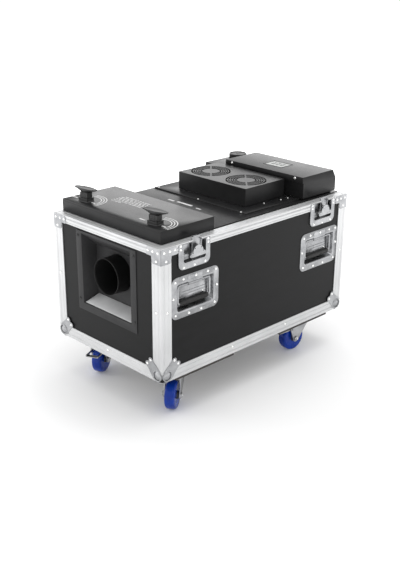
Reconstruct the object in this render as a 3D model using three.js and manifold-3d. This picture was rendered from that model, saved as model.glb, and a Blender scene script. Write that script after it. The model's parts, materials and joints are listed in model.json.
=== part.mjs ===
// Low-fog machine built into a flight case on four castors.
// Millimetres, +Z up. The fog outlet faces -Y and the floor is z = 0.
import * as THREE from 'three';
import { mergeVertices } from 'three/addons/utils/BufferGeometryUtils.js';
import Module from 'manifold-3d';

const wasm = await Module();
wasm.setup();

// ---------------------------------------------------------------- driving dimensions
// Fits: a gap between fixed pieces that touch, and the running gap round what moves.
const FIT = 0.3;
const RUN = 0.3;

// Flight case, measured over its aluminium edges.
const CASE = { width: 480, length: 810, height: 400 };
const PANEL_T = 9;
const EDGE = { t: 2.5, leg: 38, rim: 24, flange: 29 };
const BALL = { r: 24, inset: 20 };

// Castors, placed by how far their swivel axes stand from the case's sides and ends.
const BOARD = { t: 11.7, length: 240, endGap: 60, sideGap: 8 };
const CASTOR = { sideInset: 75, endInset: 120, trail: 36, crownGap: 13.7 };
const PLATE = { width: 95, length: 67, t: 4, raceR: 30, raceT: 6 };
const WHEEL = { r: 45, width: 32, hubR: 15, hubOut: 4, crown: 3, sides: 24 };
const FORK = { t: 4, crownR: 33, crownFront: 20, crownRear: 30, gap: 1.5, pinR: 6, foot: 12 };
const AXLE = { r: 5, out: 5 };
const NUT = { r: 9, t: 4 };
const PEDAL = { armGap: 1.5, arm: 3.5, t: 3, past: 25, length: 14, pivot: 54, drop: 38, pinR: 3, eyeR: 6 };
const STEER = { front_right: 33, front_left: 27, rear_right: -5, rear_left: -20 };

// Recessed carrying handles, two on each long side. Lows and highs are from the middle of the handle.
const HANDLE = { endInset: 130, z: 243, width: 183, height: 124, corner: 20, t: 1.5 };
const POCKET = { width: 140, low: -39, high: 39, behindGrip: 1.3, wall: 1.5 };
const BAIL = { bar: 3.5, grip: 8, gripLength: 108, halfWidth: 62, top: 32, low: -21, sink: 6 };
const KNUCKLE = { width: 46, below: 7 };

// Butterfly latches, two on each long side, over the rim. Heights are from the top of the case.
const LATCH = { endInset: 124, width: 120, low: -77, high: -2, corner: 18, lip: 1.2, gap: 0.3 };
const DISH = { width: 84, low: -57, depth: 11.8, wall: 1.2 };
const WING = { offset: 12, z: -33, shaftR: 6, t: 1.6, reach: 32, chord: 15, top: 17, crest: 8, round: 6 };
const SEAT = { r: 9, h: 3.3 };
const HOOK = {
  width: 30, low: -56, high: 11, t: 2.5, stand: 5.8, nose: 5.7, noseT: 3, travel: 12,
  slack: 0.5,
};

// Fog outlet in the front panel.
const BEZEL = { halfWidth: 135, low: 120, high: 370, t: 1.5 };
const FUNNEL = { depth: 50, wall: 1.5, half: 110, low: 143, high: 363, backHalf: 102 };
const AROUND_DUCT = { below: 37, above: 9 };
const TRAY = { t: 1.2, margin: 4 };
const DUCT = { r: 56, wall: 2, z: 256, rim: 1.5, length: 92 };

// The machine's own covers, above the rim of the case. Left and right are from the sides of the case.
const LID = { left: 10, right: 30, y0: 27, y1: 230, h: 38, t: 1.5 };
const DECK = {
  left: 11, right: 32, rear: 10, t: 2, raisedLeft: 16, raisedRight: 56, raisedY: 390,
  raise: 3.7,
};
const BULKHEAD = { side: 35, t: 2, gap: 1 };
const FAN = { x: -13, gap: 30, r: 62.5, disc: 27.5, spoke: 7, ring: 6, tipGap: 7, hubR: 20 };
const FAN_BOX = { left: 5, right: 10, front: 17, behind: 37, rearGap: 12, h: 63, t: 1.5 };
const ROTOR = { blades: 7, h: 18, blade: 2, pitch: 38, shaftR: 4, drop: 8 };
const CONTROL = {
  x0: -132, x1: 202, rear: 15, length: 167, h: 76, t: 1.5, lip: 19, lipOut: 4, slopeIn: 16, slopeH: 27,
};
const TANK_BOX = { x0: -220, x1: -136, rear: 30, length: 160, h: 52, t: 1.5 };

// Filler caps with T-bars on the front cover, and the screw cap of the fluid tank.
const CAP = {
  x: [-161, 148], y: 64, turn: 7.5, collarX: 36, collarY: 28, collarH: 11, neckR: 11.5,
  boreR: 9.5,
};
const TBAR = { length: 86, width: 28, t: 4, h: 29, stemX: 30, stemY: 22, stemH: 17, flare: 4, plug: 20 };
const SCREW_CAP = { x: -178, rear: 44, r: 30, h: 20, neckR: 20, boreR: 16, plug: 15 };

// Works inside the case. Tops are below the top of the case.
const MIST = { side: 35, gap: 1.5, y1: 228, low: 14, top: 55, wall: 3, stepGap: 4.5, stepTop: 15 };
const FLUID = { x0: -205, x1: -95, past: 39, length: 215, low: 14, top: 8, bore: 32 };
const HEATER = { x: 95, y: 320, width: 150, length: 110, low: 30, high: 150, fins: 6, fin: 4 };
const STACK = { r: 8, h: 30 };
const PUMP = {
  x: 60, y: 640, r: 24, length: 110, baseH: 18, baseHalf: 30, pipeR: 5, pipe: 14,
  pipeInset: 12,
};

// Menu buttons and sockets on the back of the control box.
const BUTTON = { count: 4, r: 5, pitch: 18, x: 62, rise: 30, out: 2.5, length: 8, collar: 1.5 };
const SOCKET = { r: 11, depth: 12, x: [168, 128, 96], rise: 28, block: 30, floor: 3 };

// ---------------------------------------------------------------- helpers
const CASTOR_HEIGHT = 2 * WHEEL.r + CASTOR.crownGap + FORK.t + RUN + PLATE.raceT + PLATE.t;
const UP = CASTOR_HEIGHT + BOARD.t + FIT; // case bottom above the floor
const HALF = CASE.width / 2;
const INNER = EDGE.t + FIT; // outer face of the panels, in from the edges
const PANEL_OUT = HALF - INNER;
const PANEL_IN = PANEL_OUT - PANEL_T;
const TOP = CASE.height;
const POCKET_DEPTH = BAIL.sink + BAIL.grip + POCKET.behindGrip;

// A closed geometry as a solid, turned outside out where its profile ran the other way.
function solid(geometry) {
  const bare = geometry.clone();
  bare.deleteAttribute('normal');
  bare.deleteAttribute('uv');
  const merged = mergeVertices(bare, 1e-4);
  const triVerts = new Uint32Array(merged.index.array);
  const build = () => new wasm.Manifold(
    new wasm.Mesh({ numProp: 3, vertProperties: merged.attributes.position.array, triVerts }),
  );
  const made = build();
  if (made.volume() >= 0) return made;
  for (let i = 0; i < triVerts.length; i += 3) {
    [triVerts[i + 1], triVerts[i + 2]] = [triVerts[i + 2], triVerts[i + 1]];
  }
  return build();
}

const join = (...solids) => solids.reduce((a, b) => a.add(b));
const cut = (body, ...tools) => tools.reduce((a, b) => a.subtract(b), body);

function box(x0, x1, y0, y1, z0, z1) {
  const g = new THREE.BoxGeometry(x1 - x0, y1 - y0, z1 - z0);
  return solid(g.translate((x0 + x1) / 2, (y0 + y1) / 2, (z0 + z1) / 2));
}

// A matrix that carries a shape's own (u, v, depth) to (y, z, x), (x, z, y) or (x, y, z).
function towards(axis) {
  const X = new THREE.Vector3(1, 0, 0);
  const Y = new THREE.Vector3(0, 1, 0);
  const Z = new THREE.Vector3(0, 0, 1);
  const m = new THREE.Matrix4();
  if (axis === 'x') return m.makeBasis(Y, Z, X);
  if (axis === 'y') return m.makeBasis(X, Z, Y);
  return m.makeBasis(X, Y, Z);
}

// A flat shape given thickness along one axis, from a to b.
function plate(shape, axis, a, b, segments = 5) {
  const g = new THREE.ExtrudeGeometry(shape, { depth: b - a, bevelEnabled: false, curveSegments: segments });
  return solid(g.translate(0, 0, a).applyMatrix4(towards(axis)));
}

// A round bar along one axis from a to b, at (u, v) on the other two.
function bar(axis, r, a, b, u, v, sides = 16) {
  const g = new THREE.CylinderGeometry(r, r, b - a, sides).rotateX(Math.PI / 2);
  return solid(g.translate(u, v, (a + b) / 2).applyMatrix4(towards(axis)));
}

// A rectangle with its own corner radii at the low and the high side.
function roundedPlate(width, low, high, lowCorner, highCorner) {
  const h = width / 2;
  const s = new THREE.Shape();
  s.moveTo(-h + lowCorner, low);
  s.lineTo(h - lowCorner, low);
  s.absarc(h - lowCorner, low + lowCorner, lowCorner, -Math.PI / 2, 0, false);
  s.lineTo(h, high - highCorner);
  if (highCorner > 0) s.absarc(h - highCorner, high - highCorner, highCorner, 0, Math.PI / 2, false);
  s.lineTo(-h + highCorner, high);
  if (highCorner > 0) s.absarc(-h + highCorner, high - highCorner, highCorner, Math.PI / 2, Math.PI, false);
  s.lineTo(-h, low + lowCorner);
  s.absarc(-h + lowCorner, low + lowCorner, lowCorner, Math.PI, Math.PI * 1.5, false);
  return s;
}

// A box whose front face (at y0) and back face (at y1) are different rectangles.
function funnel(y0, front, y1, back) {
  const g = new THREE.BoxGeometry(1, 1, 1);
  const p = g.attributes.position;
  for (let i = 0; i < p.count; i++) {
    const face = p.getY(i) < 0 ? front : back;
    const x = p.getX(i) < 0 ? -face.half : face.half;
    const z = p.getZ(i) < 0 ? face.low : face.high;
    p.setXYZ(i, x, p.getY(i) < 0 ? y0 : y1, z);
  }
  return solid(g);
}

// The same solid, moved.
function moved(body, x, y, z) {
  return solid(geometryOf(body).translate(x, y, z));
}

function geometryOf(body) {
  const mesh = body.getMesh();
  const g = new THREE.BufferGeometry();
  g.setAttribute('position', new THREE.BufferAttribute(mesh.vertProperties.slice(), 3));
  g.setIndex(new THREE.BufferAttribute(mesh.triVerts.slice(), 1));
  g.computeVertexNormals();
  return g;
}

function finish(color, roughness, metalness) {
  return new THREE.MeshStandardMaterial({ color, roughness, metalness });
}

const MATERIAL = {
  laminate: finish(0x1c1c1d, 0.45, 0),
  aluminium: finish(0xdfe0e2, 0.35, 0.9),
  zinc: finish(0xc4c6c9, 0.3, 0.9),
  powder: finish(0x37383a, 0.6, 0.2),
  bezel: finish(0x2c2d2e, 0.6, 0.2),
  duct: finish(0x101010, 0.7, 0),
  tray: finish(0xb9bbbc, 0.45, 0.8),
  board: finish(0x26221d, 0.7, 0),
  plastic: finish(0x161617, 0.5, 0),
  rubber: finish(0x121212, 0.8, 0),
  tread: finish(0x1238a8, 0.25, 0),
  tank: finish(0xd9dad6, 0.4, 0),
};

const root = new THREE.Group();
const flightCase = new THREE.Group();
flightCase.position.set(0, -CASE.length / 2, UP);
root.add(flightCase);

function add(parent, name, body, material) {
  const mesh = new THREE.Mesh(geometryOf(body), material);
  mesh.name = name;
  parent.add(mesh);
  return mesh;
}

const ENDS = { front: (inset) => inset, rear: (inset) => CASE.length - inset };

// ---------------------------------------------------------------- case shell
// Plywood side with windows for the handle pockets and the latch dishes, drawn for +X.
function sidePanel() {
  let body = box(PANEL_IN, PANEL_OUT, INNER, CASE.length - INNER, INNER, TOP - INNER);
  for (const end of Object.values(ENDS)) {
    const h = end(HANDLE.endInset);
    const grow = POCKET.wall + FIT;
    const reach = POCKET.width / 2 + grow;
    const l = end(LATCH.endInset);
    const dish = DISH.width / 2 + DISH.wall + FIT;
    body = cut(
      body,
      box(
        PANEL_IN - 1, PANEL_OUT + 1, h - reach, h + reach,
        HANDLE.z + POCKET.low - grow, HANDLE.z + POCKET.high + grow,
      ),
      box(PANEL_IN - 1, PANEL_OUT + 1, l - dish, l + dish, TOP + DISH.low - DISH.wall - FIT, TOP),
    );
  }
  return body;
}

function endPanel() {
  return box(-PANEL_IN + FIT, PANEL_IN - FIT, INNER, INNER + PANEL_T, INNER, TOP - INNER);
}

function frontPanel() {
  const grow = FUNNEL.wall + FIT;
  const half = FUNNEL.half + grow;
  const window = box(-half, half, 0, INNER + PANEL_T + 1, FUNNEL.low - grow, FUNNEL.high + grow);
  return cut(endPanel(), window);
}

function floorPanel() {
  const y0 = INNER + PANEL_T + FIT;
  return box(-PANEL_IN + FIT, PANEL_IN - FIT, y0, CASE.length - y0, INNER, INNER + PANEL_T);
}

// Angle extrusions of the bottom and the four uprights, with their ball corners, as one riveted frame.
function lowerEdgeFrame() {
  const L = CASE.length;
  const top = TOP - EDGE.rim - FIT;
  const t = EDGE.t;
  const leg = EDGE.leg;
  let body = box(-HALF, HALF, 0, L, 0, top);
  for (const x of [-1, 1]) {
    for (const y of [BALL.inset, L - BALL.inset]) {
      const ball = new THREE.SphereGeometry(BALL.r, 12, 8);
      body = join(body, solid(ball.translate(x * (HALF - BALL.inset), y, BALL.inset)));
    }
  }
  return cut(
    body,
    box(-HALF + t, HALF - t, t, L - t, t, top + 1),
    box(-HALF + leg, HALF - leg, -1, L + 1, leg, top + 1),
    box(-HALF - 1, HALF + 1, leg, L - leg, leg, top + 1),
    box(-HALF + leg, HALF - leg, leg, L - leg, -1, t + 1),
  );
}

// Rim extrusion, notched for the latch dishes and for the hooks that rise out of them.
function topRim() {
  const L = CASE.length;
  const low = TOP - EDGE.rim;
  const t = EDGE.t;
  const flange = EDGE.flange;
  let body = cut(
    box(-HALF, HALF, 0, L, low, TOP),
    box(-HALF + t, HALF - t, t, L - t, low - 1, TOP - t),
    box(-HALF + flange, HALF - flange, flange, L - flange, low - 1, TOP + 1),
  );
  const dish = DISH.width / 2 + DISH.wall + FIT;
  const slot = HOOK.width / 2 + RUN + 1;
  const plateBack = PANEL_OUT - HOOK.stand - HOOK.t - RUN - 1;
  for (const end of Object.values(ENDS)) {
    const y = end(LATCH.endInset);
    const hookY = y + WING.offset;
    for (const side of [-1, 1]) {
      const [a, b] = side > 0 ? [HALF - t - 1, HALF + 1] : [-HALF - 1, -HALF + t + 1];
      const [c, d] = side > 0 ? [plateBack, HALF + 1] : [-HALF - 1, -plateBack];
      body = cut(
        body,
        box(a, b, y - dish, y + dish, low - 1, TOP - t),
        box(c, d, hookY - slot, hookY + slot, low - 1, TOP + 1),
      );
    }
  }
  return body;
}

// Plywood board that carries two castors, with their top plates and upper races.
function castorBoard(end) {
  const y0 = end === 'front' ? BOARD.endGap : CASE.length - BOARD.endGap - BOARD.length;
  const half = HALF - BOARD.sideGap;
  const z = -FIT - BOARD.t;
  const y = ENDS[end](CASTOR.endInset);
  let body = box(-half, half, y0, y0 + BOARD.length, z, -FIT);
  for (const x of [-HALF + CASTOR.sideInset, HALF - CASTOR.sideInset]) {
    const plateLow = z - PLATE.t;
    const raceLow = plateLow - PLATE.raceT;
    body = join(
      body,
      box(x - PLATE.width / 2, x + PLATE.width / 2, y - PLATE.length / 2, y + PLATE.length / 2, plateLow, z),
      bar('z', PLATE.raceR, raceLow, plateLow + 1, x, y),
    );
    body = cut(body, bar('z', FORK.pinR + RUN, raceLow - 1, plateLow + 1, x, y, 12));
  }
  return body;
}

// ---------------------------------------------------------------- castors
// Drawn round the swivel axis, with z = 0 on the underside of the board and the wheel trailing to -Y.
const CROWN_TOP = -PLATE.t - PLATE.raceT - RUN;
const AXLE_Z = -(CASTOR_HEIGHT - WHEEL.r);
const HUB_HALF = WHEEL.width / 2 + WHEEL.hubOut;
const LEG_IN = HUB_HALF + FORK.gap;
const LEG_OUT = LEG_IN + FORK.t;

function castorFork(braked) {
  const crownLow = CROWN_TOP - FORK.t;
  const foot = FORK.foot;
  const eyeEnd = -PEDAL.pivot - PEDAL.eyeR;
  const leg = new THREE.Shape();
  leg.moveTo(FORK.crownFront, CROWN_TOP);
  leg.lineTo(FORK.crownFront - 2, CROWN_TOP - CASTOR.crownGap);
  leg.absarc(-CASTOR.trail, AXLE_Z, foot, -0.64, -Math.PI, true);
  if (braked) leg.lineTo(eyeEnd, -PEDAL.drop - PEDAL.pinR - 1);
  if (braked) leg.lineTo(eyeEnd, -PEDAL.drop + PEDAL.eyeR);
  leg.lineTo(-FORK.crownRear, CROWN_TOP);
  let body = join(
    box(-LEG_OUT, LEG_OUT, -FORK.crownRear, FORK.crownFront, crownLow, CROWN_TOP),
    bar('z', FORK.crownR, crownLow, CROWN_TOP, 0, 0),
    bar('z', FORK.pinR, crownLow, -PLATE.t - 1, 0, 0, 10),
    plate(leg, 'x', -LEG_OUT, -LEG_IN),
    plate(leg, 'x', LEG_IN, LEG_OUT),
    bar('x', AXLE.r, -LEG_OUT - AXLE.out, LEG_OUT + AXLE.out, -CASTOR.trail, AXLE_Z, 10),
    bar('x', NUT.r, -LEG_OUT - NUT.t, -LEG_OUT, -CASTOR.trail, AXLE_Z, 6),
    bar('x', NUT.r, LEG_OUT, LEG_OUT + NUT.t, -CASTOR.trail, AXLE_Z, 6),
  );
  if (braked) {
    body = cut(body, bar('x', PEDAL.pinR + RUN, -LEG_OUT - 1, LEG_OUT + 1, -PEDAL.pivot, -PEDAL.drop, 12));
  }
  return body;
}

// The wheel stands on one of its flats, so the flats touch the stated radius.
function castorWheel() {
  const r = WHEEL.r / Math.cos(Math.PI / WHEEL.sides);
  const h = WHEEL.width / 2;
  const bore = AXLE.r + RUN;
  const profile = [
    [bore, -HUB_HALF], [WHEEL.hubR, -HUB_HALF], [WHEEL.hubR + 2, -h + 2], [r - WHEEL.crown, -h],
    [r, -h + WHEEL.crown + 1], [r, h - WHEEL.crown - 1], [r - WHEEL.crown, h], [WHEEL.hubR + 2, h - 2],
    [WHEEL.hubR, HUB_HALF], [bore, HUB_HALF], [bore, -HUB_HALF],
  ];
  const points = profile.map(([a, b]) => new THREE.Vector2(a, b));
  const g = new THREE.LatheGeometry(points, WHEEL.sides);
  g.rotateY(Math.PI / WHEEL.sides).rotateZ(Math.PI / 2);
  return solid(g.translate(0, -CASTOR.trail, AXLE_Z));
}

// Foot pedal on a pin through both fork legs, reaching past the wheel.
function brakePedal() {
  const armIn = WHEEL.width / 2 + PEDAL.armGap;
  const half = armIn + PEDAL.arm;
  const reach = CASTOR.trail + WHEEL.r + PEDAL.past;
  const z = -PEDAL.drop;
  const arm = (a, b) => join(
    box(a, b, -reach, -PEDAL.pivot, z - PEDAL.t, z + PEDAL.t),
    bar('x', PEDAL.eyeR, a, b, -PEDAL.pivot, z, 12),
  );
  const pinEnd = LEG_OUT + 2;
  return join(
    arm(-half, -armIn),
    arm(armIn, half),
    bar('x', PEDAL.pinR, -pinEnd, -armIn, -PEDAL.pivot, z, 12),
    bar('x', PEDAL.pinR, armIn, pinEnd, -PEDAL.pivot, z, 12),
    box(-half, half, -reach, -reach + PEDAL.length, z - PEDAL.t, z),
  );
}

function placeCastors() {
  const bottom = -FIT - BOARD.t;
  for (const [corner, degrees] of Object.entries(STEER)) {
    const [end, side] = corner.split('_');
    const x = (HALF - CASTOR.sideInset) * (side === 'right' ? 1 : -1);
    const braked = corner === 'front_left' || corner === 'rear_right';
    const castor = new THREE.Group();
    castor.position.set(x, ENDS[end](CASTOR.endInset), bottom);
    castor.rotation.z = THREE.MathUtils.degToRad(degrees);
    flightCase.add(castor);
    add(castor, `castor_fork_${corner}`, castorFork(braked), MATERIAL.zinc);
    add(castor, `castor_wheel_${corner}`, castorWheel(), MATERIAL.tread);
    if (braked) add(castor, `brake_pedal_${corner}`, brakePedal(), MATERIAL.zinc);
  }
}

// ---------------------------------------------------------------- handles, drawn for +X round their middle
const PLATE_BACK = PANEL_OUT + FIT;

function handleDish() {
  const w = POCKET.wall;
  const half = POCKET.width / 2;
  const floor = PLATE_BACK - POCKET_DEPTH;
  const face = PLATE_BACK + HANDLE.t;
  const rise = HANDLE.height / 2;
  const shape = roundedPlate(HANDLE.width, -rise, rise, HANDLE.corner, HANDLE.corner);
  const barX = PLATE_BACK - BAIL.sink;
  const tab = KNUCKLE.width / 2;
  const shell = cut(
    join(
      plate(shape, 'x', PLATE_BACK, face),
      box(floor - w, PLATE_BACK + 0.5, -half - w, half + w, POCKET.low - w, POCKET.high + w),
    ),
    box(floor, face + 1, -half, half, POCKET.low, POCKET.high),
  );
  const knuckle = box(floor - 0.5, face, -tab, tab, BAIL.top - KNUCKLE.below, POCKET.high + 1);
  return cut(join(shell, knuckle), bar('y', BAIL.bar + RUN, -tab - 1, tab + 1, barX, BAIL.top, 16));
}

// Closed bail: a hinge bar through the knuckle, two arms and a rubber grip.
function handleBail() {
  const x = PLATE_BACK - BAIL.sink;
  const h = BAIL.halfWidth;
  const r = BAIL.bar;
  const grip = BAIL.gripLength / 2;
  return join(
    bar('y', r, -h - r, h + r, x, BAIL.top, 12),
    bar('z', r, BAIL.low, BAIL.top, x, -h, 12),
    bar('z', r, BAIL.low, BAIL.top, x, h, 12),
    bar('y', r, -h - r, h + r, x, BAIL.low, 12),
    bar('y', BAIL.grip, -grip, grip, x, BAIL.low),
  );
}

// ---------------------------------------------------------------- latches, drawn for +X below z = 0
const LATCH_FACE = HALF + LATCH.gap + LATCH.lip;

function latchDish() {
  const half = DISH.width / 2;
  const w = DISH.wall;
  const floor = PLATE_BACK - DISH.depth;
  const shape = roundedPlate(LATCH.width, LATCH.low, LATCH.high, LATCH.corner, 0);
  const face = cut(
    plate(shape, 'x', PLATE_BACK, LATCH_FACE),
    box(PLATE_BACK - 1, HALF + LATCH.gap, -LATCH.width, LATCH.width, -EDGE.rim - FIT, 0),
  );
  const tray = box(floor - w, HALF + LATCH.gap + 0.5, -half - w, half + w, DISH.low - w, -EDGE.t - FIT);
  const hollow = box(floor, LATCH_FACE + 1, -half, half, DISH.low, 1);
  const seat = bar('x', SEAT.r, floor - 0.5, floor + SEAT.h, WING.offset, WING.z);
  return join(cut(join(face, tray), hollow), seat);
}

// Turning wing of the latch on its shaft.
function latchWing() {
  const { reach, chord, top, crest, round } = WING;
  const s = new THREE.Shape();
  s.moveTo(-reach + round, -chord);
  s.lineTo(reach - round, -chord);
  s.quadraticCurveTo(reach, -chord, reach, -chord + round);
  s.quadraticCurveTo(reach - round / 2, top, crest, top);
  s.lineTo(-crest, top);
  s.quadraticCurveTo(-reach + round / 2, top, -reach, -chord + round);
  s.quadraticCurveTo(-reach, -chord, -reach + round, -chord);
  const x = LATCH_FACE + RUN;
  const shaftEnd = PLATE_BACK - DISH.depth + SEAT.h + RUN;
  return join(
    moved(plate(s, 'x', x, x + WING.t), 0, WING.offset, WING.z),
    bar('x', WING.shaftR, shaftEnd, x + 0.5, WING.offset, WING.z, 12),
  );
}

// Hook plate behind the wing, slotted for its shaft and bent out at the top.
function latchHook() {
  const x1 = PANEL_OUT - HOOK.stand + HOOK.t;
  const x0 = x1 - HOOK.t;
  const half = HOOK.width / 2;
  const y = WING.offset;
  const r = WING.shaftR + HOOK.slack;
  const body = join(
    box(x0, x1, y - half, y + half, HOOK.low, HOOK.high),
    box(x0, x1 + HOOK.nose, y - half, y + half, HOOK.high - HOOK.noseT, HOOK.high),
  );
  return cut(body, box(x0 - 1, x1 + 1, y - r, y + r, WING.z - r - HOOK.travel, WING.z + r));
}

function placeSideHardware() {
  for (const side of ['right', 'left']) {
    const half = new THREE.Group();
    half.scale.x = side === 'right' ? 1 : -1;
    flightCase.add(half);
    add(half, `${side}_panel`, sidePanel(), MATERIAL.laminate);
    for (const [end, at] of Object.entries(ENDS)) {
      const handle = new THREE.Group();
      handle.position.set(0, at(HANDLE.endInset), HANDLE.z);
      const latch = new THREE.Group();
      latch.position.set(0, at(LATCH.endInset), TOP);
      half.add(handle, latch);
      add(handle, `handle_dish_${end}_${side}`, handleDish(), MATERIAL.zinc);
      add(handle, `handle_bail_${end}_${side}`, handleBail(), MATERIAL.rubber);
      add(latch, `latch_dish_${end}_${side}`, latchDish(), MATERIAL.zinc);
      add(latch, `latch_wing_${end}_${side}`, latchWing(), MATERIAL.zinc);
      add(latch, `latch_hook_${end}_${side}`, latchHook(), MATERIAL.zinc);
    }
  }
}

// ---------------------------------------------------------------- fog outlet
const BEZEL_FACE = INNER - FIT - BEZEL.t;
const FUNNEL_END = BEZEL_FACE + FUNNEL.depth;
const FUNNEL_FRONT = { half: FUNNEL.half, low: FUNNEL.low, high: FUNNEL.high };
const FUNNEL_BACK = {
  half: FUNNEL.backHalf,
  low: DUCT.z - DUCT.r - AROUND_DUCT.below,
  high: DUCT.z + DUCT.r + AROUND_DUCT.above,
};

function outletRecess() {
  const w = FUNNEL.wall;
  const y0 = BEZEL_FACE;
  const grow = (r, d) => ({ half: r.half + d, low: r.low - d, high: r.high + d });
  const flange = box(-BEZEL.halfWidth, BEZEL.halfWidth, y0, y0 + BEZEL.t, BEZEL.low, BEZEL.high);
  return cut(
    join(flange, funnel(y0, grow(FUNNEL_FRONT, w), FUNNEL_END + w, grow(FUNNEL_BACK, w))),
    funnel(y0 - 0.01, FUNNEL_FRONT, FUNNEL_END, FUNNEL_BACK),
    bar('y', DUCT.r + FIT, FUNNEL_END - 1, FUNNEL_END + w + 1, 0, DUCT.z, 28),
  );
}

// Sloping plate that lies on the floor of the recess and catches drips.
function dripTray() {
  const slope = (FUNNEL_BACK.low - FUNNEL.low) / FUNNEL.depth;
  const m = TRAY.margin;
  const at = (y) => FUNNEL.low + slope * (y - BEZEL_FACE) + FIT;
  const halfAt = (y) => {
    const share = (y - BEZEL_FACE) / FUNNEL.depth;
    return FUNNEL.half + (FUNNEL.backHalf - FUNNEL.half) * share - m;
  };
  const y0 = BEZEL_FACE + m;
  const y1 = FUNNEL_END - 1;
  return funnel(
    y0, { half: halfAt(y0), low: at(y0), high: at(y0) + TRAY.t },
    y1, { half: halfAt(y1), low: at(y1), high: at(y1) + TRAY.t },
  );
}

function outletDuct() {
  const y0 = DUCT.rim;
  const y1 = y0 + DUCT.length;
  return cut(
    bar('y', DUCT.r, y0, y1, 0, DUCT.z, 28),
    bar('y', DUCT.r - DUCT.wall, y0 - 1, y1 + 1, 0, DUCT.z, 28),
  );
}

// ---------------------------------------------------------------- covers on top
const LID_TOP = TOP + LID.h;
const DECK_LOW = TOP + FIT;
const RAISED_TOP = DECK_LOW + DECK.t + DECK.raise;
const COVER_LOW = RAISED_TOP + FIT;
const FAN_PITCH = 2 * FAN.r + FAN.gap;
const FANS = [FAN.x - FAN_PITCH / 2, FAN.x + FAN_PITCH / 2];
const FAN_BOX_X = [FANS[0] - FAN.r - FAN_BOX.left, FANS[1] + FAN.r + FAN_BOX.right];
const CONTROL_Y = [CASE.length - CONTROL.rear - CONTROL.length, CASE.length - CONTROL.rear];
const TANK_BOX_Y = [CASE.length - TANK_BOX.rear - TANK_BOX.length, CASE.length - TANK_BOX.rear];
const SCREW_CAP_Y = TANK_BOX_Y[1] - SCREW_CAP.rear;
const FAN_BOX_REAR = CONTROL_Y[0] - FAN_BOX.rearGap;
const FAN_Y = FAN_BOX_REAR - FAN_BOX.behind - FAN.r;
const FAN_BOX_Y = [FAN_Y - FAN.r - FAN_BOX.front, FAN_BOX_REAR];
const BUTTON_Z = TOP + BUTTON.rise;
const SOCKET_Z = TOP + SOCKET.rise;

// A sheet-metal box open underneath.
function hood(x0, x1, y0, y1, low, high, t) {
  return cut(box(x0, x1, y0, y1, low, high), box(x0 + t, x1 - t, y0 + t, y1 - t, low - 1, high - t));
}

function frontCover() {
  let body = hood(-HALF + LID.left, HALF - LID.right, LID.y0, LID.y1, DECK_LOW, LID_TOP, LID.t);
  for (const x of CAP.x) {
    const collar = new THREE.BoxGeometry(CAP.collarX, CAP.collarY, CAP.collarH + 0.5);
    collar.rotateZ(THREE.MathUtils.degToRad(CAP.turn));
    body = join(body, solid(collar.translate(x, CAP.y, LID_TOP + (CAP.collarH - 0.5) / 2)));
    body = cut(body, bar('z', CAP.neckR + FIT, LID_TOP - 5, LID_TOP + CAP.collarH + 1, x, CAP.y));
  }
  return body;
}

// Deck sheet behind the front cover, raised at the rear, with two bulkheads that stand in the case.
function deck() {
  const y0 = LID.y1 + FIT;
  const y1 = CASE.length - DECK.rear;
  const half = HALF - BULKHEAD.side;
  const bulkhead = (y) => box(-half, half, y, y + BULKHEAD.t, INNER + PANEL_T + FIT, DECK_LOW + 0.5);
  let body = join(
    box(-HALF + DECK.left, HALF - DECK.right, y0, y1, DECK_LOW, DECK_LOW + DECK.t),
    box(-HALF + DECK.raisedLeft, HALF - DECK.raisedRight, DECK.raisedY, y1, DECK_LOW + 0.5, RAISED_TOP),
    bulkhead(y0 + BULKHEAD.gap),
    bulkhead(CASE.length - EDGE.flange - BULKHEAD.t - BULKHEAD.gap),
  );
  for (const x of FANS) body = cut(body, bar('z', FAN.r, TOP - 5, RAISED_TOP + 1, x, FAN_Y, 24));
  const neck = bar('z', SCREW_CAP.neckR + FIT, TOP - 5, RAISED_TOP + 1, SCREW_CAP.x, SCREW_CAP_Y);
  return cut(body, neck);
}

// Round grille: a disc held by four diagonal spokes and one ring, cut out of a plate.
function grilleHoles(x, z0, z1) {
  const ringR = (FAN.r + FAN.disc) / 2;
  let open = cut(bar('z', FAN.r, z0, z1, x, FAN_Y, 24), bar('z', FAN.disc, z0 - 1, z1 + 1, x, FAN_Y));
  const ring = cut(
    bar('z', ringR + FAN.ring / 2, z0 - 1, z1 + 1, x, FAN_Y, 20),
    bar('z', ringR - FAN.ring / 2, z0 - 2, z1 + 2, x, FAN_Y, 20),
  );
  open = cut(open, ring);
  for (const degrees of [45, 135]) {
    const spoke = new THREE.BoxGeometry(2 * FAN.r + 4, FAN.spoke, z1 - z0 + 2);
    spoke.rotateZ(THREE.MathUtils.degToRad(degrees));
    open = cut(open, solid(spoke.translate(x, FAN_Y, (z0 + z1) / 2)));
  }
  return open;
}

function fanCover() {
  const high = TOP + FAN_BOX.h;
  const under = high - FAN_BOX.t;
  let body = hood(...FAN_BOX_X, ...FAN_BOX_Y, COVER_LOW, high, FAN_BOX.t);
  for (const x of FANS) {
    body = cut(body, grilleHoles(x, under - 1, high + 1));
    body = join(body, bar('z', ROTOR.shaftR, under - ROTOR.drop - ROTOR.h, under + 0.5, x, FAN_Y, 12));
  }
  return body;
}

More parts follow.
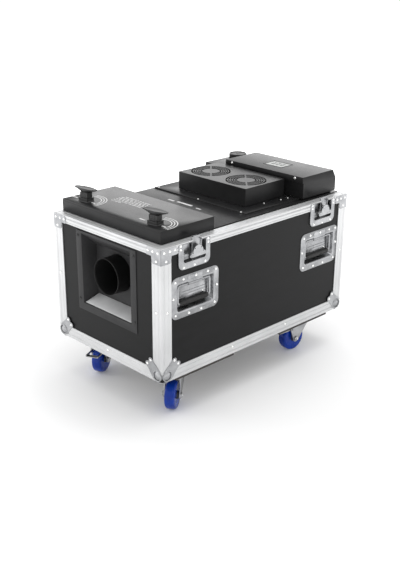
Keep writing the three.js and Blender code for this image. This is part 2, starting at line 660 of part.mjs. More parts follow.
// Fan rotor: a hub bored for its shaft and tilted blades.
function fanRotor(x) {
  const top = TOP + FAN_BOX.h - FAN_BOX.t - ROTOR.drop;
  const low = top - ROTOR.h;
  const root = FAN.hubR - 4;
  const length = FAN.r - FAN.tipGap - root;
  let body = bar('z', FAN.hubR, low, top, x, FAN_Y, 20);
  for (let i = 0; i < ROTOR.blades; i++) {
    const blade = new THREE.BoxGeometry(length, ROTOR.h * 1.2, ROTOR.blade);
    blade.translate(root + length / 2, 0, 0).rotateX(THREE.MathUtils.degToRad(ROTOR.pitch));
    blade.rotateZ((2 * Math.PI * i) / ROTOR.blades);
    body = join(body, solid(blade.translate(x, FAN_Y, (low + top) / 2)));
  }
  return cut(body, bar('z', ROTOR.shaftR + RUN, low - 2, top + 2, x, FAN_Y, 12));
}

// Control box: an overhanging top lip at the front, a sloping rear edge, and sockets at the back.
function controlProfile(inset) {
  const c = CONTROL;
  const [front, rear] = CONTROL_Y;
  const high = TOP + c.h - inset;
  const low = inset > 0 ? COVER_LOW - 1 : COVER_LOW;
  const s = new THREE.Shape();
  s.moveTo(front + c.lipOut + inset, low);
  s.lineTo(rear - inset, low);
  s.lineTo(rear - inset, TOP + c.h - c.slopeH);
  s.lineTo(rear - c.slopeIn - inset * 0.6, high);
  if (inset === 0) {
    s.lineTo(front, high);
    s.lineTo(front, high - c.lip);
    s.lineTo(front + c.lipOut, high - c.lip);
  } else {
    s.lineTo(front + c.lipOut + inset, high);
  }
  return s;
}

const BUTTON_X = Array.from({ length: BUTTON.count }, (_, i) => BUTTON.x - i * BUTTON.pitch);

function controlBox() {
  const c = CONTROL;
  const back = CONTROL_Y[1];
  const backIn = back - c.t;
  const blockX0 = Math.min(...SOCKET.x) - SOCKET.r - SOCKET.floor;
  const blockX1 = Math.max(...SOCKET.x) + SOCKET.r + SOCKET.floor;
  const blockY = back - SOCKET.depth - SOCKET.floor;
  const half = SOCKET.block / 2;
  let body = join(
    cut(plate(controlProfile(0), 'x', c.x0, c.x1), plate(controlProfile(c.t), 'x', c.x0 + c.t, c.x1 - c.t)),
    box(blockX0, blockX1, blockY, backIn + 0.5, SOCKET_Z - half, SOCKET_Z + half),
  );
  for (const x of SOCKET.x) {
    body = cut(body, bar('y', SOCKET.r, back - SOCKET.depth, back + 1, x, SOCKET_Z));
  }
  for (const x of BUTTON_X) {
    body = cut(body, bar('y', BUTTON.r + RUN, backIn - 1, back + 1, x, BUTTON_Z, 10));
  }
  return body;
}

function menuButton(x) {
  const y1 = CONTROL_Y[1] + BUTTON.out;
  const collarEnd = CONTROL_Y[1] - CONTROL.t - RUN;
  return join(
    bar('y', BUTTON.r, y1 - BUTTON.length, y1, x, BUTTON_Z, 10),
    bar('y', BUTTON.r + BUTTON.collar, collarEnd - BUTTON.collar, collarEnd, x, BUTTON_Z, 10),
  );
}

function tankHousing() {
  const b = TANK_BOX;
  const high = TOP + b.h;
  const body = hood(b.x0, b.x1, ...TANK_BOX_Y, COVER_LOW, high, b.t);
  return cut(body, bar('z', SCREW_CAP.neckR + FIT, high - 5, high + 1, SCREW_CAP.x, SCREW_CAP_Y));
}

// ---------------------------------------------------------------- caps
// T-bar cap: a round plug in the tank neck, a square stem and a flared bar on top.
function fillerCap(x) {
  const seat = LID_TOP + CAP.collarH + RUN;
  const top = LID_TOP + CAP.collarH + TBAR.h;
  const stemTop = seat + TBAR.stemH;
  const flare = new THREE.BoxGeometry(1, 1, 1);
  const p = flare.attributes.position;
  for (let i = 0; i < p.count; i++) {
    const high = p.getZ(i) > 0;
    const half = high ? [TBAR.length / 2, TBAR.width / 2] : [TBAR.stemX / 2, TBAR.width / 2 - 1];
    const z = high ? top - TBAR.t : stemTop - TBAR.flare;
    p.setXYZ(i, Math.sign(p.getX(i)) * half[0], Math.sign(p.getY(i)) * half[1], z);
  }
  const turned = (g) => solid(g.rotateZ(THREE.MathUtils.degToRad(CAP.turn)).translate(x, CAP.y, 0));
  const stem = new THREE.BoxGeometry(TBAR.stemX, TBAR.stemY, TBAR.stemH);
  const crest = new THREE.BoxGeometry(TBAR.length, TBAR.width, TBAR.t + 0.5);
  return join(
    bar('z', CAP.boreR - RUN, seat - TBAR.plug, seat + 1, x, CAP.y),
    turned(stem.translate(0, 0, seat + TBAR.stemH / 2)),
    turned(flare),
    turned(crest.translate(0, 0, top - (TBAR.t + 0.5) / 2)),
  );
}

function screwCap() {
  const low = TOP + TANK_BOX.h + FIT;
  return join(
    bar('z', SCREW_CAP.r, low, low + SCREW_CAP.h, SCREW_CAP.x, SCREW_CAP_Y, 24),
    bar('z', SCREW_CAP.boreR - RUN, low - SCREW_CAP.plug, low + 1, SCREW_CAP.x, SCREW_CAP_Y),
  );
}

// ---------------------------------------------------------------- works inside
// Mist and water tank behind the outlet, with a wider upper part under its two filler necks.
function mistTank() {
  const half = HALF - MIST.side;
  const w = MIST.wall;
  const y0 = FUNNEL_END + FUNNEL.wall + MIST.gap;
  const y1 = MIST.y1;
  const stepY = CAP.y - CAP.neckR - MIST.stepGap;
  const high = TOP - MIST.top;
  const stepHigh = TOP - MIST.stepTop;
  const neckTop = LID_TOP + CAP.collarH - RUN;
  let body = join(
    box(-half, half, y0, y1, MIST.low, high),
    box(-half, half, stepY, y1, high - w, stepHigh),
  );
  for (const x of CAP.x) body = join(body, bar('z', CAP.neckR, stepHigh - 1, neckTop, x, CAP.y));
  body = cut(
    body,
    box(-half + w, half - w, y0 + w, y1 - w, MIST.low + w, stepHigh - w),
    box(-half + w, half - w, stepY + w, y1 - w, high, stepHigh - w),
    bar('y', DUCT.r + FIT, y0 - 1, y0 + w + 1, 0, DUCT.z, 28),
  );
  for (const x of CAP.x) body = cut(body, bar('z', CAP.boreR, stepHigh - w - 1, neckTop + 1, x, CAP.y));
  return body;
}

// Fog-fluid tank with its fluid, bored only at the neck.
function fluidTank() {
  const y1 = SCREW_CAP_Y + FLUID.past;
  const high = TOP - FLUID.top;
  const neckTop = TOP + TANK_BOX.h - 1;
  const body = join(
    box(FLUID.x0, FLUID.x1, y1 - FLUID.length, y1, FLUID.low, high),
    bar('z', SCREW_CAP.neckR, high - 1, neckTop, SCREW_CAP.x, SCREW_CAP_Y),
  );
  return cut(body, bar('z', SCREW_CAP.boreR, high - FLUID.bore, neckTop + 1, SCREW_CAP.x, SCREW_CAP_Y));
}

// Finned heat exchanger that turns fog fluid to vapour.
function fogHeater() {
  const h = HEATER;
  const x0 = h.x - h.width / 2;
  const y0 = h.y - h.length / 2;
  const pitch = (h.width - h.fin) / (h.fins - 1);
  const floor = INNER + PANEL_T + FIT;
  let body = join(
    box(x0 + 1, x0 + h.width - 1, y0 + 6, y0 + h.length - 6, floor, h.high - 12),
    bar('z', STACK.r, h.high - 13, h.high + STACK.h, h.x, h.y, 16),
  );
  for (let i = 0; i < h.fins; i++) {
    const x = x0 + i * pitch;
    body = join(body, box(x, x + h.fin, y0, y0 + h.length, h.low, h.high));
  }
  return body;
}

function fluidPump() {
  const p = PUMP;
  const floor = INNER + PANEL_T + FIT;
  const z = floor + p.baseH + p.r - 4;
  return join(
    box(p.x - p.r, p.x + p.r, p.y - p.baseHalf, p.y + p.baseHalf, floor, floor + p.baseH),
    bar('y', p.r, p.y - p.length / 2, p.y + p.length / 2, p.x, z, 20),
    bar('z', p.pipeR, z, z + p.r + p.pipe, p.x, p.y + p.length / 2 - p.pipeInset, 12),
  );
}

// ---------------------------------------------------------------- assembly
add(flightCase, 'front_panel', frontPanel(), MATERIAL.laminate);
add(flightCase, 'rear_panel', moved(endPanel(), 0, CASE.length - 2 * INNER - PANEL_T, 0), MATERIAL.laminate);
add(flightCase, 'floor_panel', floorPanel(), MATERIAL.laminate);
add(flightCase, 'lower_edge_frame', lowerEdgeFrame(), MATERIAL.aluminium);
add(flightCase, 'top_rim_frame', topRim(), MATERIAL.aluminium);
add(flightCase, 'castor_board_front', castorBoard('front'), MATERIAL.board);
add(flightCase, 'castor_board_rear', castorBoard('rear'), MATERIAL.board);
placeCastors();
placeSideHardware();
add(flightCase, 'outlet_recess', outletRecess(), MATERIAL.bezel);
add(flightCase, 'drip_tray', dripTray(), MATERIAL.tray);
add(flightCase, 'outlet_duct', outletDuct(), MATERIAL.duct);
add(flightCase, 'front_cover', frontCover(), MATERIAL.powder);
add(flightCase, 'deck', deck(), MATERIAL.powder);
add(flightCase, 'fan_cover', fanCover(), MATERIAL.powder);
add(flightCase, 'fan_rotor_left', fanRotor(FANS[0]), MATERIAL.plastic);
add(flightCase, 'fan_rotor_right', fanRotor(FANS[1]), MATERIAL.plastic);
add(flightCase, 'control_box', controlBox(), MATERIAL.powder);
BUTTON_X.forEach((x, i) => add(flightCase, `menu_button_${i + 1}`, menuButton(x), MATERIAL.plastic));
add(flightCase, 'tank_housing', tankHousing(), MATERIAL.powder);
add(flightCase, 'filler_cap_left', fillerCap(CAP.x[0]), MATERIAL.plastic);
add(flightCase, 'filler_cap_right', fillerCap(CAP.x[1]), MATERIAL.plastic);
add(flightCase, 'tank_cap', screwCap(), MATERIAL.plastic);
add(flightCase, 'mist_tank', mistTank(), MATERIAL.tank);
add(flightCase, 'fluid_tank', fluidTank(), MATERIAL.tank);
add(flightCase, 'fog_heater', fogHeater(), MATERIAL.tray);
add(flightCase, 'fluid_pump', fluidPump(), MATERIAL.plastic);

export default root;
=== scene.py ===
# %% [markdown]
# # A low-fog machine in a flight case
# A model of the machine with its joints is the fixed frame: it gives every place and every motion. This
# script dresses it.
# Each step first says what the real piece is and how it can be made in Blender, then makes it.

import json
import math
import random

import bmesh
import bpy
from mathutils import Matrix, Vector


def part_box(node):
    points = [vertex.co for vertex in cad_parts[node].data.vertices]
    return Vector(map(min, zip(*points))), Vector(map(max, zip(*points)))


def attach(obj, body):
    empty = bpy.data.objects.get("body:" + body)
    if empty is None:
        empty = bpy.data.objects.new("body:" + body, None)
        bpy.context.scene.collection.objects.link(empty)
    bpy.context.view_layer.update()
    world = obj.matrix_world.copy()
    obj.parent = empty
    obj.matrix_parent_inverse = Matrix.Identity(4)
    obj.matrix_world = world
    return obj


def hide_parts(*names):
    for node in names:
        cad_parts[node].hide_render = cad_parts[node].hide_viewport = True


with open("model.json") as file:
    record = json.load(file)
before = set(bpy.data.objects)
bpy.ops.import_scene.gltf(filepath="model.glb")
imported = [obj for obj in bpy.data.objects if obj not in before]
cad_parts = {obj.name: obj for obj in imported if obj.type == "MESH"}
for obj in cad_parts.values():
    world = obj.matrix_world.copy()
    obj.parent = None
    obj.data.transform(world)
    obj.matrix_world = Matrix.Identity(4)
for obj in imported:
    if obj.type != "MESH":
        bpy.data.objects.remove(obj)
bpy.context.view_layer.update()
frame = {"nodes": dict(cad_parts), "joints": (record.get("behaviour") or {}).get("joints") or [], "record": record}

# %% [markdown]
# The fittings are easiest to think of in millimetres, while Blender works in metres. So every shape
# is drawn in millimetres and scaled once, when it becomes an object. Places are read from the CAD.

# %% Places from the frame, in millimetres
MM = 0.001
BODY_OF = {n: b for b, members in frame["record"]["behaviour"]["bodies"].items() for n in members}
JOINT = {joint["name"]: joint for joint in frame["joints"]}
SIDES = {"right": 1, "left": -1}
ENDS = {"front": -1, "rear": 1}


def span(node):
    """The lowest and the highest corner of a CAD node, in millimetres."""
    low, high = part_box(node)
    return low / MM, high / MM


rim_low, rim_high = span("top_rim_frame")
HALF_X, HALF_Y, TOP = rim_high.x, rim_high.y, rim_high.z
BALL_OUT = span("lower_edge_frame")[1].x - HALF_X
BASE = span("lower_edge_frame")[0].z + BALL_OUT
PANEL_X = span("right_panel")[1].x
print("case half width, half length, bottom, top:", HALF_X, HALF_Y, BASE, TOP)

# %% [markdown]
# A long case looks best from one corner, seen from a little above the lid. The lens is a short
# telephoto, so the far end doesn't shrink much. The camera is turned with a matrix built from its
# three axes, which is exact and needs no guessing of Euler angles.

# %% Camera
AZIMUTH, ELEVATION, ROLL = 45.543, 21.717, 0.376
az, el, roll = (math.radians(a) for a in (AZIMUTH, ELEVATION, ROLL))
back = Vector((math.sin(az) * math.cos(el), -math.cos(az) * math.cos(el), math.sin(el)))
flat_x = Vector((0, 0, 1)).cross(back).normalized()
flat_y = back.cross(flat_x)
axis_x = math.cos(roll) * flat_x + math.sin(roll) * flat_y
axis_y = -math.sin(roll) * flat_x + math.cos(roll) * flat_y

camera = bpy.data.objects.new("camera", bpy.data.cameras.new("camera"))
bpy.context.scene.collection.objects.link(camera)
camera.data.sensor_width = 36
camera.data.lens = 55.25
camera.data.clip_end = 50
turn = Matrix((axis_x, axis_y, back)).transposed().to_4x4()
camera.matrix_world = Matrix.Translation((1.8665, -1.8550, 1.2991)) @ turn
bpy.context.scene.camera = camera

# %% [markdown]
# The set is a white sweep: a floor that is lit until it is as white as the background, so only the
# soft shadow under the case shows. Near the case the floor's own glow is dimmed, which is painted shade.
# The sky is bright for the camera and dimmer for the lights, because
# metal only looks like metal when part of what it reflects is dark.

# %% Floor, sky and lamps
scene = bpy.context.scene
scene.view_settings.view_transform = "Standard"


def area_lamp(name, place, size, power, aim=(0, 0, 0.3)):
    lamp = bpy.data.lights.new(name, "AREA")
    lamp.shape = "RECTANGLE"
    lamp.size, lamp.size_y = size
    lamp.energy = power
    thing = bpy.data.objects.new(name, lamp)
    scene.collection.objects.link(thing)
    thing.location = place
    thing.rotation_mode = "QUATERNION"
    thing.rotation_quaternion = (Vector(aim) - Vector(place)).to_track_quat("-Z", "Y")


area_lamp("overhead", (0.3, 0.4, 3.2), (2.4, 2.4), 40)
area_lamp("back_wall", (-3.6, 3.4, 1.7), (6.0, 3.0), 75)
area_lamp("front_left", (-2.2, -2.6, 1.6), (1.0, 2.0), 16)

world = bpy.data.worlds.new("studio")
scene.world = world
world.use_nodes = True
sky = world.node_tree
sky.nodes.clear()
seen = sky.nodes.new("ShaderNodeBackground")
seen.inputs["Strength"].default_value = 1.05
lit = sky.nodes.new("ShaderNodeBackground")
lit.inputs["Strength"].default_value = 0.92
path = sky.nodes.new("ShaderNodeLightPath")
choose = sky.nodes.new("ShaderNodeMixShader")
end = sky.nodes.new("ShaderNodeOutputWorld")
for background in (seen, lit):
    background.inputs["Color"].default_value = (1, 1, 1, 1)
sky.links.new(path.outputs["Is Camera Ray"], choose.inputs["Fac"])
sky.links.new(lit.outputs["Background"], choose.inputs[1])
sky.links.new(seen.outputs["Background"], choose.inputs[2])
sky.links.new(choose.outputs["Shader"], end.inputs["Surface"])

floor_mesh = bpy.data.meshes.new("floor")
FLOOR = 12
floor_mesh.from_pydata(
    [(-FLOOR, -FLOOR, 0), (FLOOR, -FLOOR, 0), (FLOOR, FLOOR, 0), (-FLOOR, FLOOR, 0)], [], [(0, 1, 2, 3)]
)
floor = bpy.data.objects.new("floor", floor_mesh)
scene.collection.objects.link(floor)

# %% [markdown]
# ## Finishes
# A material is a small sum of noises. Writing `fine * 0.3 + coarse` is easier to read than placing
# nodes by hand, so one class wraps a socket and turns Python's operators into Math nodes.

# %% A socket that can be added and multiplied
class Signal:
    """A socket of a node tree that takes part in Python sums."""

    def __init__(self, tree, socket=None):
        self.tree, self.socket = tree, socket

    def node(self, kind, settings=None, inputs=None, out=0):
        made = self.tree.nodes.new(kind)
        for key, value in (settings or {}).items():
            if key == "stops":
                for stop, (at, grey) in zip(made.color_ramp.elements, value):
                    stop.position, stop.color = at, (grey, grey, grey, 1)
            else:
                setattr(made, key, value)
        for key, value in (inputs or {}).items():
            if isinstance(value, Signal):
                self.tree.links.new(value.socket, made.inputs[key])
            else:
                made.inputs[key].default_value = value
        return Signal(self.tree, made.outputs[out])

    def sum(self, operation, a, b):
        return self.node("ShaderNodeMath", {"operation": operation}, {0: a, 1: b})

    def __add__(self, other):
        return self.sum("ADD", self, other)

    def __mul__(self, other):
        return self.sum("MULTIPLY", self, other)

    def __rsub__(self, other):
        return self.sum("SUBTRACT", other, self)

    __radd__ = __add__
    __rmul__ = __mul__


# %% Noises and mixes that the finishes share
def place_of(start, stretch=(1, 1, 1)):
    """Object coordinates, stretched: a small number makes the pattern long in that direction."""
    where = start.node("ShaderNodeTexCoord", out="Object")
    return start.node("ShaderNodeMapping", None, {"Vector": where, "Scale": stretch})


def noise(where, scale, detail=3.0, roughness=0.55):
    return where.node(
        "ShaderNodeTexNoise", None,
        {"Vector": where, "Scale": scale, "Detail": detail, "Roughness": roughness}, out="Fac",
    )


def ramp(signal, low, high):
    """Nothing below low, all above high."""
    return signal.node(
        "ShaderNodeMapRange", {"clamp": True}, {"Value": signal, "From Min": low, "From Max": high},
    )


def blend_of(signal, dark, light):
    """A colour between two, by a signal from 0 to 1."""
    return signal.node(
        "ShaderNodeMix", {"data_type": "RGBA"}, {"Factor": signal, 6: (*dark, 1), 7: (*light, 1)}, out=2,
    )


def bump(height, depth, strength=1.0):
    """Depth is the true height of the relief, in metres."""
    return height.node("ShaderNodeBump", None, {"Height": height, "Distance": depth, "Strength": strength})


def material_of(name, build, **constants):
    """A principled material: constants go on its sockets, build() returns what varies."""
    made = bpy.data.materials.new(name)
    made.use_nodes = True
    shader = made.node_tree.nodes["Principled BSDF"]
    for key, value in constants.items():
        shader.inputs[key.replace("_", " ")].default_value = value
    for key, signal in build(Signal(made.node_tree)).items():
        made.node_tree.links.new(signal.socket, shader.inputs[key])
    return made


# %% [markdown]
# The case is plywood under a black laminate with a very fine orange peel and faint wiping marks. The
# covers are powder coated, which is rougher: tiny domes about a millimetre apart, and dust in between.

# %% Laminate, powder coat and paint
def laminate_look(start):
    where = place_of(start)
    peel = noise(where, 900, 2)
    wiped = noise(place_of(start, (1, 1, 4)), 9, 4)
    colour = blend_of(ramp(wiped, 0.35, 0.75), (0.0042, 0.0042, 0.0045), (0.0075, 0.0075, 0.008))
    return {"Base Color": colour, "Roughness": 0.34 + 0.16 * wiped, "Normal": bump(peel, 0.00012, 0.5)}


def coat_look(dark, light, rough, depth):
    def look(start):
        where = place_of(start)
        domes = noise(where, 1300, 1.5)
        patches = noise(where, 14, 5)
        speck = ramp(noise(where, 420, 2), 0.66, 0.78)
        colour = blend_of(ramp(patches, 0.3, 0.7) * 0.8 + speck * 0.2, dark, light)
        return {"Base Color": colour, "Roughness": rough + 0.12 * patches, "Normal": bump(domes, depth, 0.8)}

    return look


laminate = material_of("black_laminate", laminate_look, Specular_IOR_Level=0.16)
powder = material_of(
    "powder_coat", coat_look((0.010, 0.010, 0.0105), (0.018, 0.018, 0.0185), 0.26, 0.0001),
    Specular_IOR_Level=0.18,
)
bezel_paint = material_of(
    "bezel_paint", coat_look((0.026, 0.026, 0.027), (0.040, 0.040, 0.041), 0.5, 0.0001),
    Specular_IOR_Level=0.25,
)
duct_black = material_of(
    "duct_black", coat_look((0.004, 0.004, 0.004), (0.008, 0.008, 0.008), 0.5, 0.0001),
    Specular_IOR_Level=0.25,
)

# %% [markdown]
# Bare metals differ by their surface. The edging is anodised, so it is even and silky. The fittings
# are zinc plated: cloudy, with spangles where the zinc set. The drip tray is rolled sheet, whose
# grain is noise stretched along one direction.

# %% Metals
def anodised_look(start):
    where = place_of(start)
    grain = noise(where, 700, 2)
    dull = noise(where, 6, 4)
    nick = ramp(noise(where, 45, 3), 0.70, 0.78)
    colour = blend_of(ramp(dull, 0.3, 0.7), (0.56, 0.565, 0.57), (0.68, 0.685, 0.69))
    rough = 0.38 + 0.12 * dull + 0.15 * nick
    return {"Base Color": colour, "Roughness": rough, "Normal": bump(grain, 0.00003, 0.6)}


def zinc_look(start):
    where = place_of(start)
    spangle = where.node("ShaderNodeTexVoronoi", None, {"Vector": where, "Scale": 160.0}, out="Distance")
    cloud = noise(where, 26, 5)
    colour = blend_of(ramp(cloud, 0.3, 0.7), (0.27, 0.275, 0.285), (0.46, 0.465, 0.475))
    rough = 0.17 + 0.16 * cloud + 0.10 * spangle
    return {"Base Color": colour, "Roughness": rough, "Normal": bump(cloud + 0.2 * spangle, 0.0004, 0.35)}


def nickel_look(start):
    cloud = noise(place_of(start), 60, 3)
    colour = blend_of(cloud, (0.86, 0.86, 0.85), (0.97, 0.97, 0.96))
    return {"Base Color": colour, "Roughness": 0.14 + 0.14 * cloud}


def rolled_look(start):
    grain = noise(place_of(start, (1, 30, 1)), 60, 4)
    stain = noise(place_of(start), 18, 4)
    colour = blend_of(ramp(stain, 0.3, 0.75), (0.56, 0.565, 0.57), (0.70, 0.705, 0.71))
    return {"Base Color": colour, "Roughness": 0.36 + 0.2 * grain, "Normal": bump(grain, 0.00005, 0.5)}


anodised = material_of("edge_aluminium", anodised_look, Metallic=0.75)
zinc = material_of("zinc_steel", zinc_look, Metallic=1.0)
bright_steel = material_of("screw_steel", nickel_look, Metallic=1.0)
rolled = material_of("bare_steel", rolled_look, Metallic=0.15)

# %% [markdown]
# Plastics and rubber: moulded parts have the fine texture of their mould, the castor treads are
# glossy cast polyurethane with scuffs where they roll, and the plywood boards show their plies.

# %% Plastics, rubber and wood
def moulded_look(dark, light, rough, depth=0.00012, scale=1100):
    def look(start):
        where = place_of(start)
        skin = noise(where, scale, 2)
        rub = noise(where, 30, 4)
        return {
            "Base Color": blend_of(ramp(rub, 0.35, 0.7), dark, light),
            "Roughness": rough + 0.14 * rub,
            "Normal": bump(skin, depth, 0.7),
        }

    return look


def tread_look(start):
    where = place_of(start)
    scuff = ramp(noise(where, 120, 4), 0.56, 0.72)
    depth = noise(where, 20, 2)
    return {
        "Base Color": blend_of(ramp(depth, 0.3, 0.7), (0.001, 0.020, 0.22), (0.004, 0.045, 0.36)),
        "Roughness": 0.20 + 0.22 * scuff,
        "Normal": bump(noise(where, 260, 3), 0.0002, 0.35),
    }


def ply_look(start):
    plies = noise(place_of(start, (1, 1, 60)), 9, 2)
    grain = noise(place_of(start, (12, 1, 12)), 22, 5)
    layers = ramp(plies * 0.5 + grain * 0.5, 0.35, 0.65)
    colour = blend_of(layers, (0.012, 0.010, 0.009), (0.045, 0.036, 0.028))
    return {"Base Color": colour, "Roughness": 0.5 + 0.2 * grain, "Normal": bump(grain, 0.0004, 0.6)}


black_plastic = material_of("black_plastic", moulded_look((0.010, 0.010, 0.010), (0.018, 0.018, 0.018), 0.38))
rubber = material_of(
    "grip_rubber", moulded_look((0.012, 0.012, 0.012), (0.024, 0.024, 0.024), 0.34, 0.0003, 500),
)
tank_white = material_of("tank_plastic", moulded_look((0.60, 0.60, 0.57), (0.74, 0.74, 0.71), 0.35))
tread_blue = material_of("blue_tread", tread_look, Coat_Weight=0.12, Specular_IOR_Level=0.22)
board_ply = material_of("castor_board_ply", ply_look)
print_white = material_of("white_print", moulded_look((0.50, 0.50, 0.50), (0.62, 0.62, 0.62), 0.5))
glass_dark = material_of(
    "display_window", moulded_look((0.004, 0.006, 0.010), (0.006, 0.010, 0.016), 0.08, 0.00002),
)
crystal_grey = material_of(
    "liquid_crystal", moulded_look((0.17, 0.18, 0.17), (0.22, 0.23, 0.22), 0.25, 0.00002),
    Coat_Weight=0.1,
)


def studio_floor_look(start):
    """White that glows evenly far from the case; near the case the glow is dimmed, a painted shade that darkens
    the floor there.
    """
    where = place_of(start)
    away = where.node("ShaderNodeVectorMath", {"operation": "LENGTH"}, {0: where}, out="Value")
    # Painted shade: the floor's glow falls from 0.8 far away to 0.08 near the case, darkening the floor round it.
    even_glow_and_painted_shade = blend_of(ramp(away, 0.55, 2.2), (0.08, 0.08, 0.08), (0.8, 0.8, 0.8))
    return {"Base Color": blend_of(away, (0.83, 0.83, 0.83), (0.84, 0.84, 0.84)), "Emission Color": even_glow_and_painted_shade}


floor_white = material_of("floor_white", studio_floor_look, Emission_Strength=1.0, Specular_IOR_Level=0.0)
floor_mesh.materials.append(floor_white)
print(len(bpy.data.materials), "finishes")

# %% [markdown]
# ## Shapes
# Nearly every piece here is a bent sheet, an extrusion or a turned part. Four helpers draw them in a
# bmesh: a prism from an outline, a loft through loops of equal length, a turned profile, and a bar
# swept along a bent path.

# %% Outlines
def arc(u, v, r, start, stop, steps):
    """Points on an arc, angles in degrees."""
    turns = [math.radians(start + (stop - start) * i / steps) for i in range(steps + 1)]
    return [(u + r * math.cos(t), v + r * math.sin(t)) for t in turns]


def rounded(half, low, high, low_r, high_r=None, steps=6):
    """A rectangle about u = 0 with its own corner radii at the low and the high side."""
    high_r = low_r if high_r is None else high_r
    return (
        arc(half - low_r, low + low_r, low_r, -90, 0, steps)
        + arc(half - high_r, high - high_r, high_r, 0, 90, steps)
        + arc(-half + high_r, high - high_r, high_r, 90, 180, steps)
        + arc(-half + low_r, low + low_r, low_r, 180, 270, steps)
    )


PLACE = {
    "x": lambda u, v, depth: Vector((depth, u, v)),
    "y": lambda u, v, depth: Vector((u, depth, v)),
    "z": lambda u, v, depth: Vector((u, v, depth)),
}


# %% Prism, loft, turned part and bent bar
def loft(shape, loops, close=True):
    """A skin through loops that have the same number of points."""
    rings = [[shape.verts.new(point) for point in loop] for loop in loops]
    count = len(rings[0])
    for a, b in zip(rings, rings[1:]):
        for i in range(count):
            j = (i + 1) % count
            shape.faces.new((a[i], a[j], b[j], b[i]))
    if close:
        shape.faces.new(rings[0])
        shape.faces.new(rings[-1])


def prism(shape, outline, axis, start, stop):
    loft(shape, [[PLACE[axis](u, v, depth) for u, v in outline] for depth in (start, stop)])


def block(shape, low, high):
    outline = [(low[0], low[1]), (high[0], low[1]), (high[0], high[1]), (low[0], high[1])]
    prism(shape, outline, "z", low[2], high[2])


def turned(shape, profile, axis, centre, segments=48):
    """A profile of (radius, place along the axis), turned about a centre (u, v).

    A profile that ends where it starts makes a ring; any other is closed by its two ends.
    """
    u, v = centre
    loops = []
    for r, depth in profile:
        points = arc(u, v, max(r, 1e-3), 0, 360 * (segments - 1) / segments, segments - 1)
        loops.append([PLACE[axis](a, b, depth) for a, b in points])
    loft(shape, loops, close=profile[0] != profile[-1])


def bent_path(corners, bend, steps=6, closed=False):
    """Corner points with each corner rounded to the same radius."""
    corners = [Vector(c) for c in corners]
    count = len(corners)
    path = []
    for i, corner in enumerate(corners):
        if not closed and i in (0, count - 1):
            path.append(corner)
            continue
        before = (corners[i - 1] - corner).normalized()
        after = (corners[(i + 1) % count] - corner).normalized()
        half = before.angle(after) / 2
        centre = corner + (before + after).normalized() * bend / math.sin(half)
        a = corner + before * bend / math.tan(half) - centre
        b = corner + after * bend / math.tan(half) - centre
        for k in range(steps + 1):
            path.append(centre + (a.lerp(b, k / steps)).normalized() * bend)
    return path


def bar_along(shape, path, radius, sides=12, closed=False):
    """A round bar swept along points that lie in one plane or nearly so."""
    count = len(path)
    normal = None
    loops = []
    for i, point in enumerate(path):
        ahead = path[(i + 1) % count] if closed or i < count - 1 else point
        behind = path[i - 1] if closed or i > 0 else point
        along = (ahead - behind).normalized()
        if normal is None:
            normal = along.orthogonal().normalized()
        normal = (normal - along * normal.dot(along)).normalized()
        other = along.cross(normal)
        turns = [2 * math.pi * k / sides for k in range(sides)]
        loops.append([point + radius * (math.cos(t) * normal + math.sin(t) * other) for t in turns])
    if closed:
        loops.append(loops[0])
    loft(shape, loops, close=not closed)


# %% [markdown]
# A finished piece is a mesh at the origin that rides on a CAD body. Sheet metal never has a razor edge,
# so most pieces get a small bevel, which catches a thin line of light along every fold.

# %% Finish a piece
def piece(name, shape, material, body="case", replaces=(), bevel=0.0, steps=2, sharp=32):
    bmesh.ops.remove_doubles(shape, verts=shape.verts, dist=2e-3)
    bmesh.ops.dissolve_degenerate(shape, dist=1e-4, edges=shape.edges)
    bmesh.ops.recalc_face_normals(shape, faces=shape.faces)
    mesh = bpy.data.meshes.new(name)
    shape.to_mesh(mesh)
    shape.free()
    return dress(name, mesh, material, body, replaces, bevel, steps, sharp)


def dress(name, mesh, material, body, replaces=(), bevel=0.0, steps=2, sharp=32):
    mesh.transform(Matrix.Scale(MM, 4))
    mesh.name = name
    mesh.materials.clear()
    mesh.materials.append(material)
    mesh.shade_smooth()
    thing = bpy.data.objects.new(name, mesh)
    scene.collection.objects.link(thing)
    if bevel:
        edge = thing.modifiers.new("bevel", "BEVEL")
        edge.width, edge.segments = bevel * MM, steps
        edge.limit_method, edge.angle_limit = "ANGLE", math.radians(sharp)
        edge.harden_normals = True
    else:
        mesh.set_sharp_from_angle(angle=math.radians(sharp))
    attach(thing, body)
    if replaces:
        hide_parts(*replaces)
    return thing


def from_cad(node):
    """A merged copy of a CAD node in millimetres, with its flat faces whole again."""
    shape = bmesh.new()
    shape.from_mesh(frame["nodes"][node].data)
    shape.transform(Matrix.Scale(1 / MM, 4))
    bmesh.ops.remove_doubles(shape, verts=shape.verts, dist=5e-3)
    bmesh.ops.dissolve_limit(shape, angle_limit=math.radians(0.8), verts=shape.verts, edges=shape.edges)
    return shape


def refine(node, material, bevel, name=None, steps=2):
    """The CAD shape with bevelled folds, in place of the CAD node."""
    name = name or node + "_sheet"
    return piece(name, from_cad(node), material, BODY_OF[node], (node,), bevel, steps)


